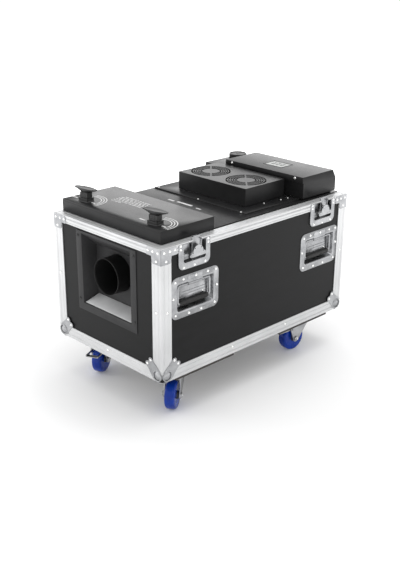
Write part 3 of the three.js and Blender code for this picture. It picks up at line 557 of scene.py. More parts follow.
def subtract(shape, knife_shape):
    """The shape with another closed shape cut out of it, by a Boolean modifier."""
    things = []
    for source in (shape, knife_shape):
        bmesh.ops.remove_doubles(source, verts=source.verts, dist=1e-3)
        bmesh.ops.recalc_face_normals(source, faces=source.faces)
        mesh = bpy.data.meshes.new("carving")
        source.to_mesh(mesh)
        source.free()
        things.append(bpy.data.objects.new("carving", mesh))
        scene.collection.objects.link(things[-1])
    body, knife = things
    cutter = body.modifiers.new("carve", "BOOLEAN")
    cutter.operation, cutter.solver, cutter.object = "DIFFERENCE", "EXACT", knife
    cutter.use_self = True
    mesh = bpy.data.meshes.new_from_object(body.evaluated_get(bpy.context.evaluated_depsgraph_get()))
    for thing in things:
        bpy.data.objects.remove(thing)
    result = bmesh.new()
    result.from_mesh(mesh)
    return result


def carve(shape, boxes):
    """Cuts boxes out of a closed shape."""
    knife_shape = bmesh.new()
    for low, high in boxes:
        block(knife_shape, low, high)
    return subtract(shape, knife_shape)


# %% [markdown]
# ## Rivets, screws and bolts
# There are well over a hundred fasteners. One head is modelled, and a Geometry Nodes tree puts it on
# every point, turned so that its own +Z looks along the point's `facing`. Moving a rivet is then a
# matter of moving a point.

# %% The tree that puts a head on every point
def new_tree(name, sockets):
    tree = bpy.data.node_groups.new(name, "GeometryNodeTree")
    for label, kind, inward in sockets:
        tree.interface.new_socket(label, in_out="INPUT" if inward else "OUTPUT", socket_type=kind)
    start = tree.nodes.new("NodeGroupInput")
    finish = tree.nodes.new("NodeGroupOutput")
    inputs = {item.name: Signal(tree, start.outputs[item.name]) for item in start_sockets(tree)}
    return tree, inputs, finish


def start_sockets(tree):
    return [item for item in tree.interface.items_tree if item.in_out == "INPUT"]


def close_tree(tree, finish, geometry, material):
    """Every tree ends the same way: real geometry with its finish on it."""
    real = geometry.node("GeometryNodeRealizeInstances", None, {"Geometry": geometry})
    painted = real.node("GeometryNodeSetMaterial", None, {"Geometry": real, "Material": material})
    tree.links.new(painted.socket, finish.inputs[0])
    return tree


def heads_tree():
    tree, inp, finish = new_tree("heads_on_points", [
        ("Points", "NodeSocketGeometry", True), ("Head", "NodeSocketObject", True),
        ("Size", "NodeSocketFloat", True), ("Material", "NodeSocketMaterial", True),
        ("Geometry", "NodeSocketGeometry", False),
    ])
    start = Signal(tree)
    facing = start.node("GeometryNodeInputNamedAttribute", {"data_type": "FLOAT_VECTOR"}, {"Name": "facing"})
    turn = start.node("FunctionNodeAlignRotationToVector", {"axis": "Z"}, {"Vector": facing})
    head = start.node("GeometryNodeObjectInfo", None, {"Object": inp["Head"]}, out="Geometry")
    set_out = start.node("GeometryNodeInstanceOnPoints", None, {
        "Points": inp["Points"], "Instance": head, "Rotation": turn, "Scale": inp["Size"],
    })
    return close_tree(tree, finish, set_out, inp["Material"])


HEADS = heads_tree()

# %% [markdown]
# A dome rivet, a pan-head screw with a cross recess and a hexagon nut are small turned parts. Each has
# only a few dozen faces, because it is copied so often.

# %% The heads
def stamp(name, build):
    """A small object that the trees copy. It is taken away again at the end of the script."""
    shape = bmesh.new()
    build(shape)
    bmesh.ops.remove_doubles(shape, verts=shape.verts, dist=2e-3)
    bmesh.ops.recalc_face_normals(shape, faces=shape.faces)
    mesh = bpy.data.meshes.new(name)
    shape.to_mesh(mesh)
    shape.free()
    mesh.shade_smooth()
    mesh.set_sharp_from_angle(angle=math.radians(40))
    thing = bpy.data.objects.new(name, mesh)
    scene.collection.objects.link(thing)
    STAMPS.append(thing)
    return thing


STAMPS = []


def dome_rivet(shape):
    turned(shape, [(0, -0.5), (1, -0.5), (1, 0.08), (0.88, 0.4), (0.52, 0.66), (0, 0.74)], "z", (0, 0), 12)


def pan_screw(shape):
    profile = [(0, -0.5), (1, -0.5), (1, 0.25), (0.8, 0.5), (0.45, 0.55), (0.38, 0.2), (0, 0.12)]
    turned(shape, profile, "z", (0, 0), 12)
    for a, b in ((0.62, 0.12), (0.12, 0.62)):
        block(shape, (-a, -b, 0.1), (a, b, 0.3))


def hex_nut(shape):
    turned(shape, [(0, -0.3), (1.15, -0.3), (1.15, 0.05), (0, 0.05)], "z", (0, 0), 16)
    turned(shape, [(0, 0), (0.9, 0), (0.9, 0.6), (0.75, 0.7), (0, 0.7)], "z", (0, 0), 6)
    turned(shape, [(0, 0.6), (0.42, 0.6), (0.42, 0.95), (0, 0.98)], "z", (0, 0), 10)


RIVET, SCREW, NUT = stamp("rivet", dome_rivet), stamp("screw", pan_screw), stamp("nut", hex_nut)


def realise(name, tree, values, material, body, points=()):
    """Runs a tree on points of (place, facing), and keeps what it makes as a plain mesh."""
    cloud = bpy.data.meshes.new(name)
    cloud.from_pydata([place for place, facing in points] or [(0, 0, 0)], [], [])
    facing = cloud.attributes.new("facing", "FLOAT_VECTOR", "POINT")
    for item, (place, direction) in zip(facing.data, points):
        item.vector = direction
    carrier = bpy.data.objects.new(name + "_points", cloud)
    scene.collection.objects.link(carrier)
    nodes = carrier.modifiers.new("nodes", "NODES")
    nodes.node_group = tree
    for item in start_sockets(tree):
        if item.name in values:
            nodes[item.identifier] = values[item.name]
        elif item.name == "Material":
            nodes[item.identifier] = material
    mesh = bpy.data.meshes.new_from_object(carrier.evaluated_get(bpy.context.evaluated_depsgraph_get()))
    carrier.modifiers.remove(nodes)
    bpy.data.objects.remove(carrier)
    print(name, len(points), "points,", len(mesh.polygons), "faces")
    return dress(name, mesh, material, body, sharp=40)


def heads(name, head, size, points, material=bright_steel, body="case"):
    return realise(name, HEADS, {"Head": head, "Size": size}, material, body, points)


# %% [markdown]
# ## Case edging
# The edging is an aluminium extrusion: an angle with fine grooves along its faces. Its section is one
# outline, and the frame is that outline swept round the four corners with mitred joints. Each corner
# of the sweep is the outline placed on the two faces that meet there, so the mitres close by themselves.

# %% The section of the edging
GROOVE = {"width": 1.9, "depth": 1.1}
EDGE_T = 2.5
EDGE_LEG = 38
RIM_LEG = TOP - rim_low.z
RIM_FLANGE = 29


def groove_points(at, across):
    """Three points of a V groove that starts at a distance from the corner."""
    width, depth = GROOVE["width"], GROOVE["depth"]
    return [across(at, 0), across(at + width / 2, depth), across(at + width, 0)]


def angle_section(leg_a, leg_b, grooves_a, grooves_b, corner=2.2):
    """An L section as (p, q), the distances in from its two outer faces. Leg A lies on p = 0."""
    outline = [(0.5, leg_a), (0, leg_a - 0.5)]
    for at in sorted(grooves_a, reverse=True):
        outline += reversed(groove_points(at, lambda s, d: (d, s)))
    outline += [(corner - corner * math.cos(t), corner - corner * math.sin(t))
                for t in (math.radians(a) for a in (0, 22, 45, 68, 90))]
    for at in grooves_b:
        outline += groove_points(at, lambda s, d: (s, d))
    outline += [(leg_b - 0.5, 0), (leg_b, 0.5), (leg_b, EDGE_T), (EDGE_T, EDGE_T), (EDGE_T, leg_a)]
    return outline


def mitred_frame(shape, outline, height):
    """Sweeps a section round the four corners of the case. height() turns q into z."""
    loops = []
    for sx, sy in ((1, -1), (1, 1), (-1, 1), (-1, -1), (1, -1)):
        loops.append([Vector((sx * (HALF_X - p), sy * (HALF_Y - p), height(q))) for p, q in outline])
    loft(shape, loops, close=False)


# %% The rim, notched for the latches
LATCH_HALF = (span("latch_dish_front_right")[1].y - span("latch_dish_front_right")[0].y) / 2
rim = bmesh.new()
mitred_frame(rim, angle_section(RIM_LEG, RIM_FLANGE, (6.5, 9.0, 18.0), (8.0, 19.0)), lambda q: TOP - q)
notches = []
for end in ENDS:
    for side, s in SIDES.items():
        plate_low, plate_high = span(f"latch_dish_{end}_{side}")
        hook_low, hook_high = span(f"latch_hook_{end}_{side}")
        x_in, x_out = sorted((s * (HALF_X - EDGE_T - 1), s * (HALF_X + 1)))
        notches.append(((x_in, plate_low.y - 0.3, rim_low.z - 1), (x_out, plate_high.y + 0.3, TOP - EDGE_T)))
        x_in, x_out = sorted((s * (HALF_X - 10), s * (HALF_X + 1)))
        notches.append(((x_in, hook_low.y - 1.3, rim_low.z - 1), (x_out, hook_high.y + 1.3, TOP + 1)))
rim = carve(rim, notches)
piece("rim_extrusion", rim, anodised, replaces=("top_rim_frame",), sharp=1)

# %% Bottom frame and the four posts
POST_LOW = BASE + EDGE_LEG
POST_HIGH = rim_low.z - 0.3
bottom = bmesh.new()
mitred_frame(bottom, angle_section(EDGE_LEG, EDGE_LEG, (9.0, 12.0, 26.5), (9.0, 27.0)), lambda q: BASE + q)
post_section = angle_section(EDGE_LEG, EDGE_LEG, (9.0, 12.0, 26.5), (9.0, 12.0, 26.5))
for sx in (-1, 1):
    for sy in (-1, 1):
        corner_outline = [(sx * (HALF_X - p), sy * (HALF_Y - q)) for p, q in post_section]
        prism(bottom, corner_outline, "z", POST_LOW, POST_HIGH)
CORNER_CUT = 27
cuts = []
for sx in (-1, 1):
    for sy in (-1, 1):
        x = sorted((sx * (HALF_X - CORNER_CUT), sx * (HALF_X + 1)))
        y = sorted((sy * (HALF_Y - CORNER_CUT), sy * (HALF_Y + 1)))
        cuts.append(((x[0], y[0], BASE - 1), (x[1], y[1], BASE + CORNER_CUT)))
bottom = carve(bottom, cuts)
piece("edge_extrusions", bottom, anodised, replaces=("lower_edge_frame",), sharp=1)

# %% [markdown]
# ## Ball corners and top braces
# A ball corner is pressed from sheet steel: a ball that takes the knocks, a bead round it, and one leaf
# on each face that ends in two lobes with a rivet each. A leaf's outline is two arcs and a waist, and
# the three leaves are the same outline laid on three faces.

# %% Ball corners
BALL_R = 24
BALL_INSET = BALL_R - BALL_OUT
LEAF_T = 1.6
LEAF_REACH = 69
LOBE_R = 8.5
RIVET_SINK = 1.0
BEAD_RING = 15.5
BEAD_R = 2.2


def leaf_outline(scale=1.0):
    """A leaf in the corner of two edges, u and v being the distances from them."""
    lobe = LEAF_REACH - LOBE_R
    near = lobe - 14
    points = [(14, 42), (24, 50), (34, 58)]
    points += arc(near, lobe, LOBE_R, 150, 5, 7)
    points += [(55.5, 55.5)]
    points += arc(lobe, near, LOBE_R, 85, -60, 7)
    points += [(58, 34), (50, 24), (42, 14), (33, 5)]
    points += arc(BALL_INSET, BALL_INSET, 14.5, -50, 140, 12)
    points += [(5, 33)]
    return [(u * scale, v * scale) for u, v in points]


def lobe_centres(scale=1.0):
    far = (LEAF_REACH - LOBE_R) * scale
    return [(far, far - 14 * scale), (far - 14 * scale, far)]


corner_rivets = []
corners = bmesh.new()
balls = bmesh.new()
for sx in (-1, 1):
    for sy in (-1, 1):
        centre = Vector((sx * (HALF_X - BALL_INSET), sy * (HALF_Y - BALL_INSET), BASE + BALL_INSET))
        half_turn = [math.radians(-90 + 7.5 * k) for k in range(25)]
        turned(balls, [(BALL_R * math.cos(t), centre.z + BALL_R * math.sin(t)) for t in half_turn],
               "z", (centre.x, centre.y), 40)
        faces = {
            "x": (lambda u, v: (sy * (HALF_Y - u), BASE + v), sx, HALF_X, 1.0),
            "y": (lambda u, v: (sx * (HALF_X - u), BASE + v), sy, HALF_Y, 1.0),
            "z": (lambda u, v: (sx * (HALF_X - u), sy * (HALF_Y - v)), -1, -BASE, 0.82),
        }
        for axis, (lay, s, face, scale) in faces.items():
            outline = [lay(u, v) for u, v in leaf_outline(scale)]
            prism(corners, outline, axis, s * (face - 0.4), s * (face + LEAF_T))
            bead = [(BEAD_RING + r, s * (face + 1.3 + d)) for r, d in arc(0, 0, BEAD_R, 0, 360, 12)]
            bead[-1] = bead[0]
            turned(balls, bead, axis, lay(BALL_INSET, BALL_INSET), 40)
            for u, v in lobe_centres(scale):
                facing = PLACE[axis](0, 0, s)
                corner_rivets.append((PLACE[axis](*lay(u, v), s * (face + LEAF_T - RIVET_SINK)), facing))
piece("ball_corners", corners, zinc, bevel=0.5)
piece("corner_balls", balls, zinc)

# %% [markdown]
# The upper corners have flat braces instead: on each face a plate that follows the rim and turns down
# along the post, held by three rivets.

# %% Top corner braces
BRACE = {"along": 60, "down": 46, "width": 25, "foot": 36, "t": 1.3}


def brace_outline():
    b = BRACE
    return (
        [(0, 1), (b["along"] - 4, 1)]
        + arc(b["along"] - 5, b["width"] - 5, 5, -10, 90, 5)
        + [(b["foot"] + 2, b["width"])]
        + arc(b["foot"] - 5, b["down"] - 5, 5, 0, 90, 5)
        + [(0, b["down"])]
    )


BRACE_RIVETS = ((11, 12), (32, 12), (51, 12), (18, 37))
braces = bmesh.new()
for sx in (-1, 1):
    for sy in (-1, 1):
        sheets = {
            "x": (lambda u, v: (sy * (HALF_Y - u), TOP - v), sx, HALF_X),
            "y": (lambda u, v: (sx * (HALF_X - u), TOP - v), sy, HALF_Y),
        }
        for axis, (lay, s, face) in sheets.items():
            outline = [lay(u, v) for u, v in brace_outline()]
            prism(braces, outline, axis, s * (face - 0.3), s * (face + BRACE["t"]))
            for u, v in BRACE_RIVETS:
                depth = s * (face + BRACE["t"] - RIVET_SINK)
                corner_rivets.append((PLACE[axis](*lay(u, v), depth), PLACE[axis](0, 0, s)))
piece("top_corner_braces", braces, zinc, bevel=0.4)

# %% Rivets of the edging
POST_RIVET = {"in": 21, "z": BASE + 212}
for sx in (-1, 1):
    for sy in (-1, 1):
        x, y = sx * (HALF_X - POST_RIVET["in"]), sy * (HALF_Y - POST_RIVET["in"])
        corner_rivets.append((Vector((x, sy * HALF_Y, POST_RIVET["z"])), Vector((0, sy, 0))))
        corner_rivets.append((Vector((sx * HALF_X, y, POST_RIVET["z"])), Vector((sx, 0, 0))))
for s in (-1, 1):
    corner_rivets.append((Vector((0, s * HALF_Y, BASE + 24)), Vector((0, s, 0))))
    for y in (-HALF_Y * 0.3, HALF_Y * 0.3):
        corner_rivets.append((Vector((s * HALF_X, y, BASE + 24)), Vector((s, 0, 0))))
heads("edge_rivets", RIVET, 4.5, corner_rivets)

# %% [markdown]
# ## Panels
# The panels are flat in the CAD and flat in life, so the CAD nodes stay and only get their finish.

# %% Finishes of the CAD nodes that stay
def paint(material, *nodes):
    for node in nodes:
        data = frame["nodes"][node].data
        data.materials.clear()
        data.materials.append(material)


paint(laminate, "front_panel", "rear_panel", "left_panel", "right_panel", "floor_panel")
paint(tank_white, "fluid_tank")
paint(duct_black, "mist_tank")
paint(rolled, "fog_heater")
paint(black_plastic, "fluid_pump")

# %% [markdown]
# ## Recessed handles
# A handle is one deep-drawn dish: flat flange, raised bead, steep walls and a ribbed floor. A loft
# through rounded rectangles draws all of it, from the back of the pocket round the flange to the floor.

# %% The dish of a handle
def handle_dish(end, side):
    s = SIDES[side]
    low, high = span(f"handle_dish_{end}_{side}")
    y, z = (low.y + high.y) / 2, (low.z + high.z) / 2
    half_w, half_h = (high.y - low.y) / 2, (high.z - low.z) / 2
    face = max(abs(low.x), abs(high.x))
    floor_x = min(abs(low.x), abs(high.x)) + 1.5
    loops = [
        (71.5, 40.5, 7, floor_x - 1.4), (71.5, 40.5, 7, face - 1.5), (half_w, half_h, 20, face - 1.5),
        (half_w, half_h, 20, face - 0.6), (half_w - 0.8, half_h - 0.8, 19.5, face),
        (78.5, 48.0, 13, face), (76.8, 46.3, 12, face + 1.3), (73.5, 43.0, 9, face + 1.5),
        (70.8, 40.0, 7, face + 0.2), (69.9, 39.1, 6, face - 1.8), (68.0, 34.6, 5, floor_x + 2.0),
        (66.0, 32.4, 4, floor_x + 0.2),
    ]
    shape = bmesh.new()
    loft(shape, [
        [Vector((s * x, y + u, z + v)) for u, v in rounded(w, -h, h, r)] for w, h, r, x in loops
    ])
    return shape, s, y, z, face, floor_x


HANDLE_RIVETS = (
    (-78, 49), (79, 51), (-77, -49), (76, -50), (-48, 53), (0, 53), (46, 53),
    (-85, 2), (84, 2), (-26, -54), (22, -54),
)
KNUCKLE_HALF = 23
HINGE = JOINT["handle_front_right"]["pos_m"]
HINGE_X, HINGE_Z = HINGE[0] / MM, HINGE[2] / MM
BAR_R = 3.5

handle_rivets = []
for end in ENDS:
    for side in SIDES:
        dish, s, y, z, face, floor_x = handle_dish(end, side)
        for k in range(4):
            height = z + 6 - 8 * k
            bar_along(dish, [Vector((s * (floor_x + 0.1), y + v, height)) for v in (-56, 56)], 1.0, 8)
        plate = ((-30, 38.5), (26, 38.5), (26, 55), (23, 58), (-27, 58), (-30, 55))
        prism(dish, [(y + u, z + v) for u, v in plate], "x", s * (face - 0.2), s * (face + 1.1))
        for u, v in ((-52, 26), (-53, 17), (44, 26), (44, -10)):
            handle_rivets.append((Vector((s * floor_x, y + u, z + v)), Vector((s, 0, 0))))
        curl = [(HINGE_X + 5.0 * math.cos(t), HINGE_Z + 5.0 * math.sin(t))
                for t in (math.radians(a) for a in range(80, -101, -20))]
        inner = [(HINGE_X + 3.9 * math.cos(t), HINGE_Z + 3.9 * math.sin(t))
                 for t in (math.radians(a) for a in range(-100, 81, 20))]
        tab = [(floor_x, HINGE_Z + 6.5), (face + 0.3, HINGE_Z + 6.5)]
        tab += curl[1:] + inner + [(floor_x, HINGE_Z + 4)]
        prism(dish, [(s * x, v) for x, v in tab], "y", y - KNUCKLE_HALF, y + KNUCKLE_HALF)
        for u, v in HANDLE_RIVETS:
            lift = 1.1 if abs(u) < 50 and v > 50 else 0
            handle_rivets.append((Vector((s * (face + lift), y + u, z + v)), Vector((s, 0, 0))))
        piece(f"handle_pan_{end}_{side}", dish, zinc,
              replaces=(f"handle_dish_{end}_{side}",), sharp=40)
heads("handle_rivets", RIVET, 4.3, handle_rivets)

# %% [markdown]
# The bail is a steel bar bent to a rectangle, and its grip is a rubber sleeve with ribs along it. The ribs
# are one thin bar copied round the sleeve by a second tree, which serves for anything that stands in a ring.

# %% A tree that copies a stamp round an axis
def ring_tree():
    tree, inp, finish = new_tree("copies_in_a_ring", [
        ("Points", "NodeSocketGeometry", True), ("Stamp", "NodeSocketObject", True),
        ("Count", "NodeSocketInt", True), ("Radius", "NodeSocketFloat", True),
        ("Material", "NodeSocketMaterial", True), ("Geometry", "NodeSocketGeometry", False),
    ])
    start = Signal(tree)
    ring = start.node("GeometryNodeMeshCircle", None, {"Vertices": inp["Count"], "Radius": inp["Radius"]})
    index = start.node("GeometryNodeInputIndex")
    step = start.node("ShaderNodeMath", {"operation": "DIVIDE"}, {0: 2 * math.pi, 1: inp["Count"]})
    angle = index * step
    turn = start.node("ShaderNodeCombineXYZ", None, {"Z": angle})
    stamp_shape = start.node("GeometryNodeObjectInfo", None, {"Object": inp["Stamp"]}, out="Geometry")
    copies = start.node("GeometryNodeInstanceOnPoints", None, {
        "Points": ring, "Instance": stamp_shape, "Rotation": turn,
    })
    real = copies.node("GeometryNodeRealizeInstances", None, {"Geometry": copies})
    facing = start.node("GeometryNodeInputNamedAttribute", {"data_type": "FLOAT_VECTOR"}, {"Name": "facing"})
    lean = start.node("FunctionNodeAlignRotationToVector", {"axis": "Z"}, {"Vector": facing})
    placed = start.node("GeometryNodeInstanceOnPoints", None, {
        "Points": inp["Points"], "Instance": real, "Rotation": lean,
    })
    return close_tree(tree, finish, placed, inp["Material"])


RING = ring_tree()


def ring_of(name, copied, count, radius, centre, facing, material, body):
    values = {"Stamp": copied, "Count": count, "Radius": radius}
    return realise(name, RING, values, material, body, [(Vector(centre), Vector(facing))])


# %% Bails and grips
GRIP_R, GRIP_HALF = 8.0, 54.0
GRIP_RIB = stamp("grip_rib", lambda shape: block(shape, (-0.9, -0.9, -50), (1.3, 0.9, 50)))
for end in ENDS:
    for side, s in SIDES.items():
        node = f"handle_bail_{end}_{side}"
        low, high = span(node)
        y = (low.y + high.y) / 2
        x = s * HINGE_X
        half = (high.y - low.y) / 2 - BAR_R
        grip_z = low.z + GRIP_R
        bail = bmesh.new()
        corners_of_bail = [
            (x, y - half, HINGE_Z), (x, y - half, grip_z), (x, y + half, grip_z), (x, y + half, HINGE_Z),
        ]
        bar_along(bail, bent_path(corners_of_bail, 7, closed=True), BAR_R, 14, closed=True)
        piece(f"bail_bar_{end}_{side}", bail, zinc, node, (node,), sharp=50)
        sleeve = bmesh.new()
        r = GRIP_R - 1.4
        turned(sleeve, [(BAR_R, y - GRIP_HALF), (r - 1, y - GRIP_HALF), (r, y - GRIP_HALF + 1.5),
                        (r, y + GRIP_HALF - 1.5), (r - 1, y + GRIP_HALF), (BAR_R, y + GRIP_HALF)],
               "y", (x, grip_z), 32)
        piece(f"bail_grip_{end}_{side}", sleeve, rubber, node)
        ring_of(f"bail_grip_ribs_{end}_{side}", GRIP_RIB, 12, r, (x, y, grip_z), (0, 1, 0), rubber, node)

# %% [markdown]
# ## Butterfly latches
# The dish is drawn like the handle's, with square upper corners where it passes over the rim. The wing
# is a pressed plate with a boss, folded leaves and small holes, and the hook is a bent strip. The holes are
# black discs laid on the plate: painted shade in place of open holes.

# %% Latch dishes
latch_rivets = []
for end in ENDS:
    for side, s in SIDES.items():
        node = f"latch_dish_{end}_{side}"
        low, high = span(node)
        y = (low.y + high.y) / 2
        face = max(abs(low.x), abs(high.x))
        floor_x = min(abs(low.x), abs(high.x)) + 1.2
        back_x = PANEL_X + 0.3
        bottom_z, top_z, under = low.z, high.z, TOP - EDGE_T - 0.3
        pocket_low = TOP - 57
        half = LATCH_HALF
        loops = [
            (43.2, pocket_low - 1.2, under, 7, 0.6, floor_x - 1.2),
            (43.2, pocket_low - 1.2, under, 7, 0.6, back_x),
            (half, bottom_z, under, 18, 0.6, back_x), (half, bottom_z, under, 18, 0.6, face - 0.8),
            (half - 0.8, bottom_z + 0.8, under - 0.8, 17.4, 0.6, face),
            (45.5, pocket_low - 3.6, under - 0.9, 9, 0.6, face),
            (44.6, pocket_low - 2.6, under - 1.0, 8, 0.6, face + 0.9),
            (42.6, pocket_low - 0.6, under - 1.2, 7, 0.6, face + 0.6),
            (42.0, pocket_low, under - 1.4, 6, 0.6, face - 1.5),
            (41.2, pocket_low + 0.8, under - 1.4, 5, 0.6, floor_x + 1.0),
            (40.0, pocket_low + 2.0, under - 1.5, 4, 0.6, floor_x),
        ]
        dish = bmesh.new()
        loft(dish, [
            [Vector((s * x, y + u, v)) for u, v in rounded(w, lo, hi, lr, hr)]
            for w, lo, hi, lr, hr, x in loops
        ])
        hook_low, hook_high = span(f"latch_hook_{end}_{side}")
        slot_x = sorted((s * (abs(hook_low.x if s > 0 else hook_high.x) - 0.6), s * (face + 2)))
        slot_low = (slot_x[0], hook_low.y - 0.8, under - 4)
        slot_high = (slot_x[1], hook_high.y + 0.8, under + 1)
        dish = carve(dish, [(slot_low, slot_high)])
        for u in (-1, 1):
            for v in (7, 17):
                at = Vector((s * (face - RIVET_SINK), y + u * 52, TOP - v))
                latch_rivets.append((at, Vector((s, 0, 0))))
        for u, v in ((-41, 70.5), (0, 71.5), (41, 70.5)):
            at = Vector((s * (face - RIVET_SINK), y + u, TOP - v))
            latch_rivets.append((at, Vector((s, 0, 0))))
        wing_pos = JOINT[f"latch_turn_{end}_{side}"]["pos_m"]
        turned(dish, [(0, s * (floor_x - 0.5)), (9, s * (floor_x - 0.5)), (9, s * (floor_x + 2.6)),
                      (8.2, s * (floor_x + 3.3)), (0, s * (floor_x + 3.3))], "x",
               (wing_pos[1] / MM, wing_pos[2] / MM), 32)
        piece(f"latch_pan_{end}_{side}", dish, zinc, replaces=(node,), sharp=40)
heads("latch_rivets", RIVET, 4.2, latch_rivets)

# %% Latch wings and hooks
WING = {"reach": 32, "chord": 15, "top": 17, "t": 1.6, "boss": 7.5}


def wing_outline(y, z):
    reach, chord, top = WING["reach"], WING["chord"], WING["top"]
    points = arc(reach - 5, -chord + 5, 5, -90, 20, 4)
    points += arc(0, -2, 19.2, 8, 172, 22)
    points += arc(-reach + 5, -chord + 5, 5, 160, 270, 4)
    shift = top - 17.2
    return [(y + u, z + v + shift) for u, v in points]


for end in ENDS:
    for side, s in SIDES.items():
        node = f"latch_wing_{end}_{side}"
        low, high = span(node)
        outer = max(abs(low.x), abs(high.x))
        pos = [c / MM for c in JOINT[f"latch_turn_{end}_{side}"]["pos_m"]]
        y, z = pos[1], pos[2]
        wing = bmesh.new()
        prism(wing, wing_outline(y, z), "x", s * (outer - WING["t"]), s * outer)
        shaft_end = min(abs(low.x), abs(high.x))
        boss = [(0, shaft_end), (6, shaft_end), (6, outer - 1), (WING["boss"], outer),
                (WING["boss"] - 0.8, outer + 0.5), (3.4, outer + 0.5), (3.0, outer + 0.1), (0, outer + 0.1)]
        turned(wing, [(r, s * depth) for r, depth in boss], "x", (y, z), 32)
        for u in (-1, 1):
            fold = ((11, -13.5), (28, -13.5), (26, -9.5), (11, -9.5))
            prism(wing, [(y + u * a, z + b) for a, b in fold], "x", s * (outer - 0.2), s * (outer + 0.45))
        piece(f"wing_plate_{end}_{side}", wing, zinc, node, (node,), bevel=0.35)
        # Painted shade: small black discs on the wing plate, not cut through, stand for the dark of its holes.
        hole_painted_shade = bmesh.new()
        for u, v in ((-20, -3), (20, -3), (-12, 9), (12, 9)):
            turned(hole_painted_shade, [(0, s * (outer - 0.2)), (1.7, s * (outer - 0.2)), (1.7, s * (outer + 0.06)),
                           (0, s * (outer + 0.06))], "x", (y + u, z + v), 16)
        piece(f"wing_holes_{end}_{side}", hole_painted_shade, duct_black, node, sharp=60)
        refine(f"latch_hook_{end}_{side}", zinc, 0.6, f"hook_strip_{end}_{side}")

# %% [markdown]
# ## Castors
# The castors are steered, so each is drawn along its own axes and turned into place with a matrix from
# its two joints. The tread is cast round a black hub with a steel bush, and the fork is pressed steel.

# %% Castor place and wheels
def castor_place(corner):
    """Carries (across, ahead, up), measured from the swivel under the board, into the frame."""
    swivel = Vector(JOINT[f"castor_swivel_{corner}"]["pos_m"]) / MM
    across = Vector(JOINT[f"wheel_spin_{corner}"]["axis"])
    up = Vector((0, 0, 1))
    turn = Matrix((across, up.cross(across), up)).transposed().to_4x4()
    return Matrix.Translation(swivel) @ turn


CORNERS = [f"{end}_{side}" for end in ENDS for side in SIDES]
WHEEL_R, TRAIL = 45.0, 36.0
AXLE_DROP = JOINT["castor_swivel_front_right"]["pos_m"][2] / MM - WHEEL_R
TREAD = [(30, -14.5), (40, -15.5), (43.2, -13.4), (44.6, -10), (45, -5), (45, 5), (44.6, 10), (43.2, 13.4),
         (40, 15.5), (30, 14.5)]
HALF_HUB = [(5.3, 20), (11, 20), (11.6, 19.4), (12.5, 15.2), (15, 13), (27, 11.5), (29, 13.6), (31.2, 14.4)]
HUB = [(r, -depth) for r, depth in HALF_HUB] + HALF_HUB[::-1]
HUB_RIB = stamp("hub_rib", lambda shape: block(shape, (-7, -1.1, -14.2), (7.5, 1.1, 14.2)))

for corner in CORNERS:
    place = castor_place(corner)
    wheel_body = f"castor_wheel_{corner}"
    tread = bmesh.new()
    turned(tread, TREAD, "x", (-TRAIL, -AXLE_DROP), 96)
    tread.transform(place)
    piece(f"tread_{corner}", tread, tread_blue, wheel_body, (wheel_body,), sharp=50)
    hub = bmesh.new()
    turned(hub, HUB + [HUB[0]], "x", (-TRAIL, -AXLE_DROP), 48)
    hub.transform(place)
    piece(f"hub_{corner}", hub, black_plastic, wheel_body, sharp=35)
    centre = place @ Vector((0, -TRAIL, -AXLE_DROP))
    axis = place.to_3x3() @ Vector((1, 0, 0))
    ring_of(f"hub_ribs_{corner}", HUB_RIB, 10, 21, centre, axis, black_plastic, wheel_body)

# %% [markdown]
# The fork's legs keep the CAD outline, because the pedal and the axle fit to it, and get the bevels of
# pressed steel. Nuts and the plate bolts are added as heads.

# %% Forks, nuts, pedals and boards
for corner in CORNERS:
    place = castor_place(corner)
    fork_body = f"castor_fork_{corner}"
    refine(fork_body, zinc, 0.9, f"fork_{corner}")
    turn = place.to_3x3()
    nut_points = []
    for s in (-1, 1):
        nut_points.append((place @ Vector((s * 25.6, -TRAIL, -AXLE_DROP)), turn @ Vector((s, 0, 0))))
    heads(f"axle_nuts_{corner}", NUT, 7.0, nut_points, body=fork_body)
for node in ("brake_pedal_front_left", "brake_pedal_rear_right"):
    refine(node, zinc, 0.7, node + "_bar")

bolts = []
for corner in CORNERS:
    swivel = Vector(JOINT[f"castor_swivel_{corner}"]["pos_m"]) / MM
    for u in (-38, 38):
        for v in (-24, 24):
            bolts.append((swivel + Vector((u, v, -4.2)), Vector((0, 0, -1))))
heads("castor_bolts", NUT, 6.0, bolts)

CASTOR_PLATE = {"half_x": 47.5, "half_y": 33.5, "t": 4.0, "race_r": 30.0, "race_t": 6.0}
for end in ENDS:
    node = f"castor_board_{end}"
    low, high = span(node)
    board_low = JOINT[f"castor_swivel_{end}_right"]["pos_m"][2] / MM
    board = bmesh.new()
    block(board, (low.x, low.y, board_low), (high.x, high.y, high.z))
    piece(f"board_{end}", board, board_ply, replaces=(node,), bevel=1.2)
    plates = bmesh.new()
    for side in SIDES:
        swivel = Vector(JOINT[f"castor_swivel_{end}_{side}"]["pos_m"]) / MM
        c = CASTOR_PLATE
        plate = rounded(c["half_x"], -c["half_y"], c["half_y"], 8)
        outline = [(swivel.x + u, swivel.y + v) for u, v in plate]
        prism(plates, outline, "z", board_low - c["t"], board_low - 0.05)
        r, low_z = c["race_r"], board_low - c["t"] - c["race_t"]
        race = [(8, low_z), (r - 1.5, low_z), (r, low_z + 1.5), (r - 2, low_z + c["race_t"]),
                (8, low_z + c["race_t"])]
        turned(plates, race, "z", (swivel.x, swivel.y), 48)
    piece(f"castor_plates_{end}", plates, zinc, bevel=0.5)

# %% [markdown]
# ## Fog outlet
# The outlet is a painted frame round a funnel-shaped recess. Four dark screws hold it. A bare metal tray
# lies on its floor, and a round duct comes through its back wall, turned smooth with a rolled lip.

